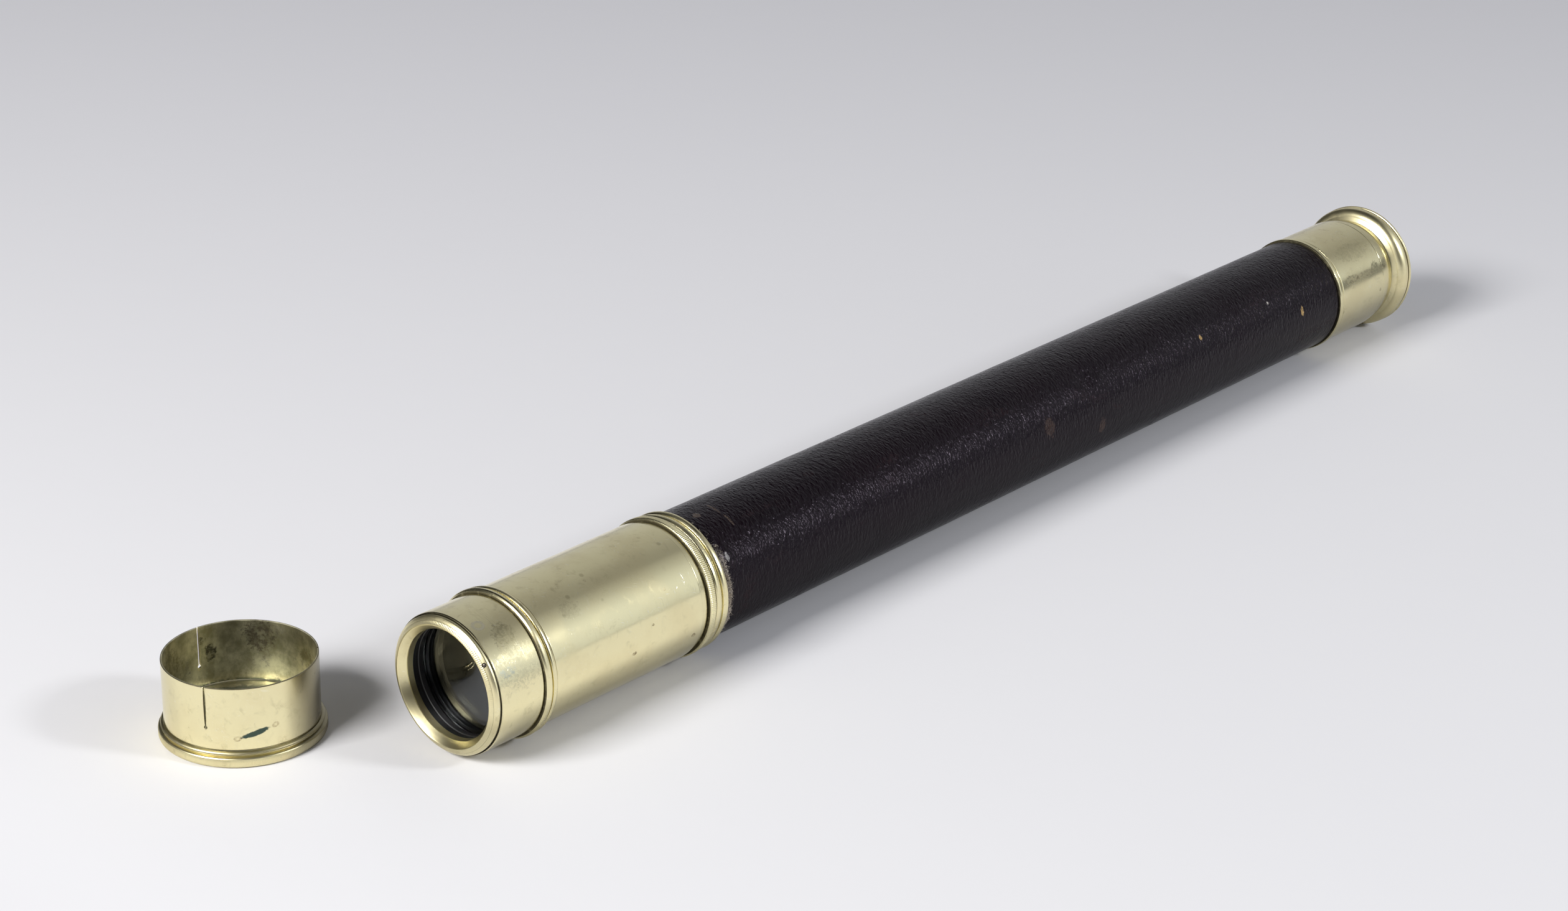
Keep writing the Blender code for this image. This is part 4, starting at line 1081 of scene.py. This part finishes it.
def build_shutter():
    """The leaf over the eye hole with its knob, and the screw that it turns on."""
    leaf_radius, tab_radius = 6.6, 3.0
    taper = math.asin((leaf_radius - tab_radius) / PIVOT_UP)
    low, high = -math.pi - taper, taper
    outline = []
    for count, radius, up, start, sweep in (
            (40, leaf_radius, 0.0, low, high - low),
            (24, tab_radius, PIVOT_UP, high, math.tau - (high - low))):
        for step in range(count + 1):
            turn = start + sweep * step / count
            outline.append((radius * math.cos(turn), up + radius * math.sin(turn)))
    front, top, _ = span("eye_shutter")
    base = front + 0.8
    leaf = plate("eye_shutter_fine", outline, front, base)
    cut(leaf, cylinder_form(Vector(on_axis(front, 0, PIVOT_UP)), (1, 0, 0), 1.3 * MM, 6 * MM, 48))
    knob = lathe("shutter_knob", [(base - 0.1, 0.0), (base - 0.1, 0.9), (base + 0.5, 0.85),
                                  (base + 0.8, 1.25), (top - 0.35, 1.3), (top, 0.8), (top, 0.0)],
                 None, 0.15, 48, place=lambda s, y, z: on_axis(s, y, z - 3.6))
    wear(leaf, "shutter", "eye_shutter", BRASS_TURNED)
    wear(knob, "shutter", None, BRASS_TURNED)
    front, rear, _ = span("shutter_pivot")
    head = rear - 0.9
    screw = lathe("shutter_pivot_fine", [(front, 0.0), (front, 0.9), (front + 0.2, 1.0),
                                         (head, 1.0), (head, 2.2), (head + 0.35, 2.2),
                                         (rear - 0.2, 1.8), (rear, 1.2), (rear, 0.0)],
                  None, 0.1, 48, place=lambda s, y, z: on_axis(s, y, z + PIVOT_UP))
    cut(screw, box_form(on_axis(rear, 0, PIVOT_UP), Matrix.Rotation(0.6, 4, "X"), (0.8, 0.5, 6)))
    wear(screw, "draw", "shutter_pivot", STEEL)


# ---------------------------------------------------------------- cap

def build_cap():
    """The cap's slit sleeve and its closed end with a milled rim."""
    top, foot = 33.4, 6.9
    sleeve = lathe("cap_sleeve_fine", flat(top, foot, CAP_RADIUS), flat(top, foot, CAP_BORE),
                   0.2, 256, 2.2,
                   lambda s, r, a, i: worked(0.05, 16.0, 9.0)(s * 0 + 3, r * 0 + 30, a, i),
                   place=on_cap, shade_painted_ends=False)
    for angle in SLIT_ANGLES:
        turn = math.radians(angle)
        middle = Vector(on_cap(0, CAP_MIDDLE * math.cos(turn), CAP_MIDDLE * math.sin(turn)))
        cut(sleeve, box_form(middle + Vector((0, 0, (SLIT_FOOT + 12) * MM)),
                             Matrix.Rotation(turn, 4, "Z"), (4, SLIT_WIDTH, 24)))
        cut(sleeve, cylinder_form(middle + Vector((0, 0, SLIT_FOOT * MM)),
                                  (math.cos(turn), math.sin(turn), 0), SLIT_HOLE * MM, 4 * MM))
    wear(sleeve, "cap", "cap_sleeve", BRASS_CAP)

    teeth, rim = 400, 33.3
    outer = [(6.6, 0.0), (6.6, 12.0), (6.6, 24.0), (6.6, 31.25), (6.35, 31.9), (5.9, 32.35),
             (5.5, 32.3), (5.25, 31.6), (4.85, 31.5), (4.6, 32.3), (4.35, 32.95), (4.0, rim - 0.05),
             (3.4, rim), (1.4, rim), (0.7, rim - 0.25), (0.15, rim - 0.9), (0.0, rim - 1.6),
             (0.0, 27.0), (0.15, 26.2), (0.6, 25.4), (0.6, 14.0), (0.55, 0.0)]
    milled = knurl(0.5, 4.2, 0.12, teeth)
    turned("cap_end", "cap", "brass_cap", BRASS_CAP_END, outer, None, 0.2, segments=teeth * 4,
           place=on_cap, counts_inside=lambda s, r: (s > 6.5) & (r < CAP_BORE),
           shape=lambda s, r, a, i: np.where(r > 32.9, 1, 0) * milled(s, r, a, i) *
           np.clip(0.55 + 0.8 * np.sin(a * 3 + 0.8), 0.25, 1))


build_lens_ring()
build_objective()
build_joint()
build_barrel()
build_shade()
build_draw()
build_shutter()
build_cap()


# ---------------------------------------------------------------- stage, light and camera

def build_stage():
    """A large pale floor, with painted light and shade in its tone."""
    form = bmesh.new()
    bmesh.ops.create_grid(form, x_segments=1, y_segments=1, size=5.0)
    floor = add_object("floor", mesh_of(form, "floor"))
    n = new_nodes("pale_paper")
    # Painted light: the floor is paler away from the front, evening out the key lamp's falloff
    away = n.add("ShaderNodeSeparateXYZ", Vector=n.place(rotation=(0, 0, math.radians(-40))))
    painted_far_light = n.band(away.outputs[0], -0.45, 1.3)
    front = n.mix(n.noise(3, 3), (0.79, 0.785, 0.80, 1), (0.805, 0.798, 0.81, 1))
    tone = n.mix(painted_far_light, front, (0.93, 0.922, 0.955, 1))
    # Painted shade: the floor is darker off the objective's end, past the cap, towards the key lamp
    sideways = n.add("ShaderNodeSeparateXYZ", Vector=n.place())
    tone = n.mix(n.band(sideways.outputs[0], -0.42, -0.64), tone, (0.68, 0.675, 0.69, 1))
    normal = n.bump(n.noise(40, 4, 0.5), 0.001, 0.1)
    floor.data.materials.append(n.finish(Base_Color=tone, Roughness=0.8, Normal=normal,
                                         Specular_IOR_Level=0.15))


def direction(azimuth, elevation):
    """A unit vector from angles in degrees, azimuth 0 being +X."""
    a, e = math.radians(azimuth), math.radians(elevation)
    return Vector((math.cos(a) * math.cos(e), math.sin(a) * math.cos(e), math.sin(e)))


def softbox(name, location, size, power, tint, aim=(-0.05, 0.0, 0.03)):
    """A rectangular lamp that looks at the telescope."""
    light = bpy.data.lights.new(name, "AREA")
    light.shape = "RECTANGLE"
    light.size, light.size_y = size
    light.energy = power
    light.color = tint
    obj = add_object(name, light)
    obj.location = location
    obj.rotation_mode = "QUATERNION"
    obj.rotation_quaternion = (Vector(location) - Vector(aim)).to_track_quat("Z", "Y")


def build_world():
    """A dim studio: a pale screen behind, glows round both lamps and a low dark edge beyond."""
    world = bpy.data.worlds.new("studio")
    bpy.context.scene.world = world
    n = Nodes(world)
    toward = n.add("ShaderNodeTexCoord").outputs["Generated"]
    parts = n.add("ShaderNodeSeparateXYZ", Vector=toward)
    x, y, z = parts.outputs
    azimuth = n.math("ARCTAN2", y, x)

    def ramp(centre, stops):
        """A level by the angle in degrees from a centre direction, as (angle, level) pairs."""
        dot = n.add("ShaderNodeVectorMath", {"operation": "DOT_PRODUCT"})
        n.put(dot, "0", toward)
        n.put(dot, "1", direction(*centre))
        level = n.plus(n.times(dot.outputs["Value"], 0.5), 0.5)
        node = n.add("ShaderNodeValToRGB", Fac=level)
        elements = node.color_ramp.elements
        while len(elements) < len(stops):
            elements.new(0.5)
        marks = sorted(((math.cos(math.radians(angle)) + 1) / 2, grey) for angle, grey in stops)
        for element, (position, grey) in zip(elements, marks):
            element.position = position
            element.color = (grey, grey, grey, 1)
        split = n.add("ShaderNodeSeparateColor", Color=node.outputs[0])
        return split.outputs[0]

    # The screen fills the far side only, as far as 52 degrees from the telescope's own line
    screen = ramp((50, 5), ((8, 0.50), (30, 0.45), (45, 0.40), (60, 0.31), (82, 0.24),
                            (110, 0.10), (180, 0.05)))
    aside = n.math("ARCCOSINE", x)
    screen = n.times(screen, n.band(aside, math.radians(53), math.radians(62), 1.0, 0.0))
    glow = ramp((-60, 18), ((8, 0.86), (13, 0.82), (17, 0.77), (22, 0.69), (26, 0.64), (32, 0.51),
                            (38, 0.43), (44, 0.34), (50, 0.20), (56, 0.06), (62, 0.0)))
    glow = n.times(glow, n.band(azimuth, math.radians(-106), math.radians(-84), 0.15, 1.0))
    lamp_glow = ramp((178, 34), ((10, 0.42), (20, 0.30), (32, 0.14), (45, 0.04), (60, 0.0)))
    level = n.math("MAXIMUM", n.math("MAXIMUM", screen, glow), n.math("MAXIMUM", lamp_glow, 0.02))
    edge = n.band(azimuth, math.radians(-51), math.radians(-36), 0.015, 0.19)
    below = n.minus(edge, z)
    strip = n.times(n.band(below, 0.0, 0.02),
                    n.band(azimuth, math.radians(-12), math.radians(-26)))
    strip_level = n.band(azimuth, math.radians(-51), math.radians(-39), 0.74, 0.20)
    level = n.plus(n.times(level, n.minus(1.0, strip)), n.times(strip, strip_level))
    cool = n.band(glow, 0.2, 0.8)
    tint = n.mix(cool, (0.99, 1.0, 1.04, 1), (0.95, 1.0, 1.09, 1))
    background = n.add("ShaderNodeBackground", Color=tint, Strength=level)
    output = n.add("ShaderNodeOutputWorld")
    n.tree.links.new(background.outputs[0], output.inputs["Surface"])


def build_camera():
    """A long lens looking down the telescope from its objective's near side."""
    heading, pitch, roll = (math.radians(value) for value in (40.583, 23.106, 0.952))
    forward = Vector((math.cos(heading) * math.cos(pitch), math.sin(heading) * math.cos(pitch),
                      -math.sin(pitch)))
    level = Vector((math.sin(heading), -math.cos(heading), 0.0))
    up = level.cross(forward)
    right = level * math.cos(roll) + up * math.sin(roll)
    top = up * math.cos(roll) - level * math.sin(roll)
    data = bpy.data.cameras.new("camera")
    data.lens = 76.69
    data.sensor_width = 36.0
    data.clip_start, data.clip_end = 0.05, 30.0
    camera = add_object("camera", data)
    camera.location = (LIP - 0.7893, AXIS_Y - 0.84795, AXIS_Z + 0.591)
    camera.rotation_mode = "QUATERNION"
    camera.rotation_quaternion = Matrix((right, top, -forward)).transposed().to_quaternion()
    bpy.context.scene.camera = camera
    bpy.context.scene.view_settings.view_transform = "Standard"


build_stage()
softbox("key_lamp", (-2.12, 0.12, 1.45), (1.1, 0.7), 63.5, (1.0, 0.993, 0.99))
softbox("side_lamp", tuple(direction(-73, 32.5) * 2.0), (0.27, 0.27), 13.5, (0.98, 1.0, 1.03))
build_world()
build_camera()
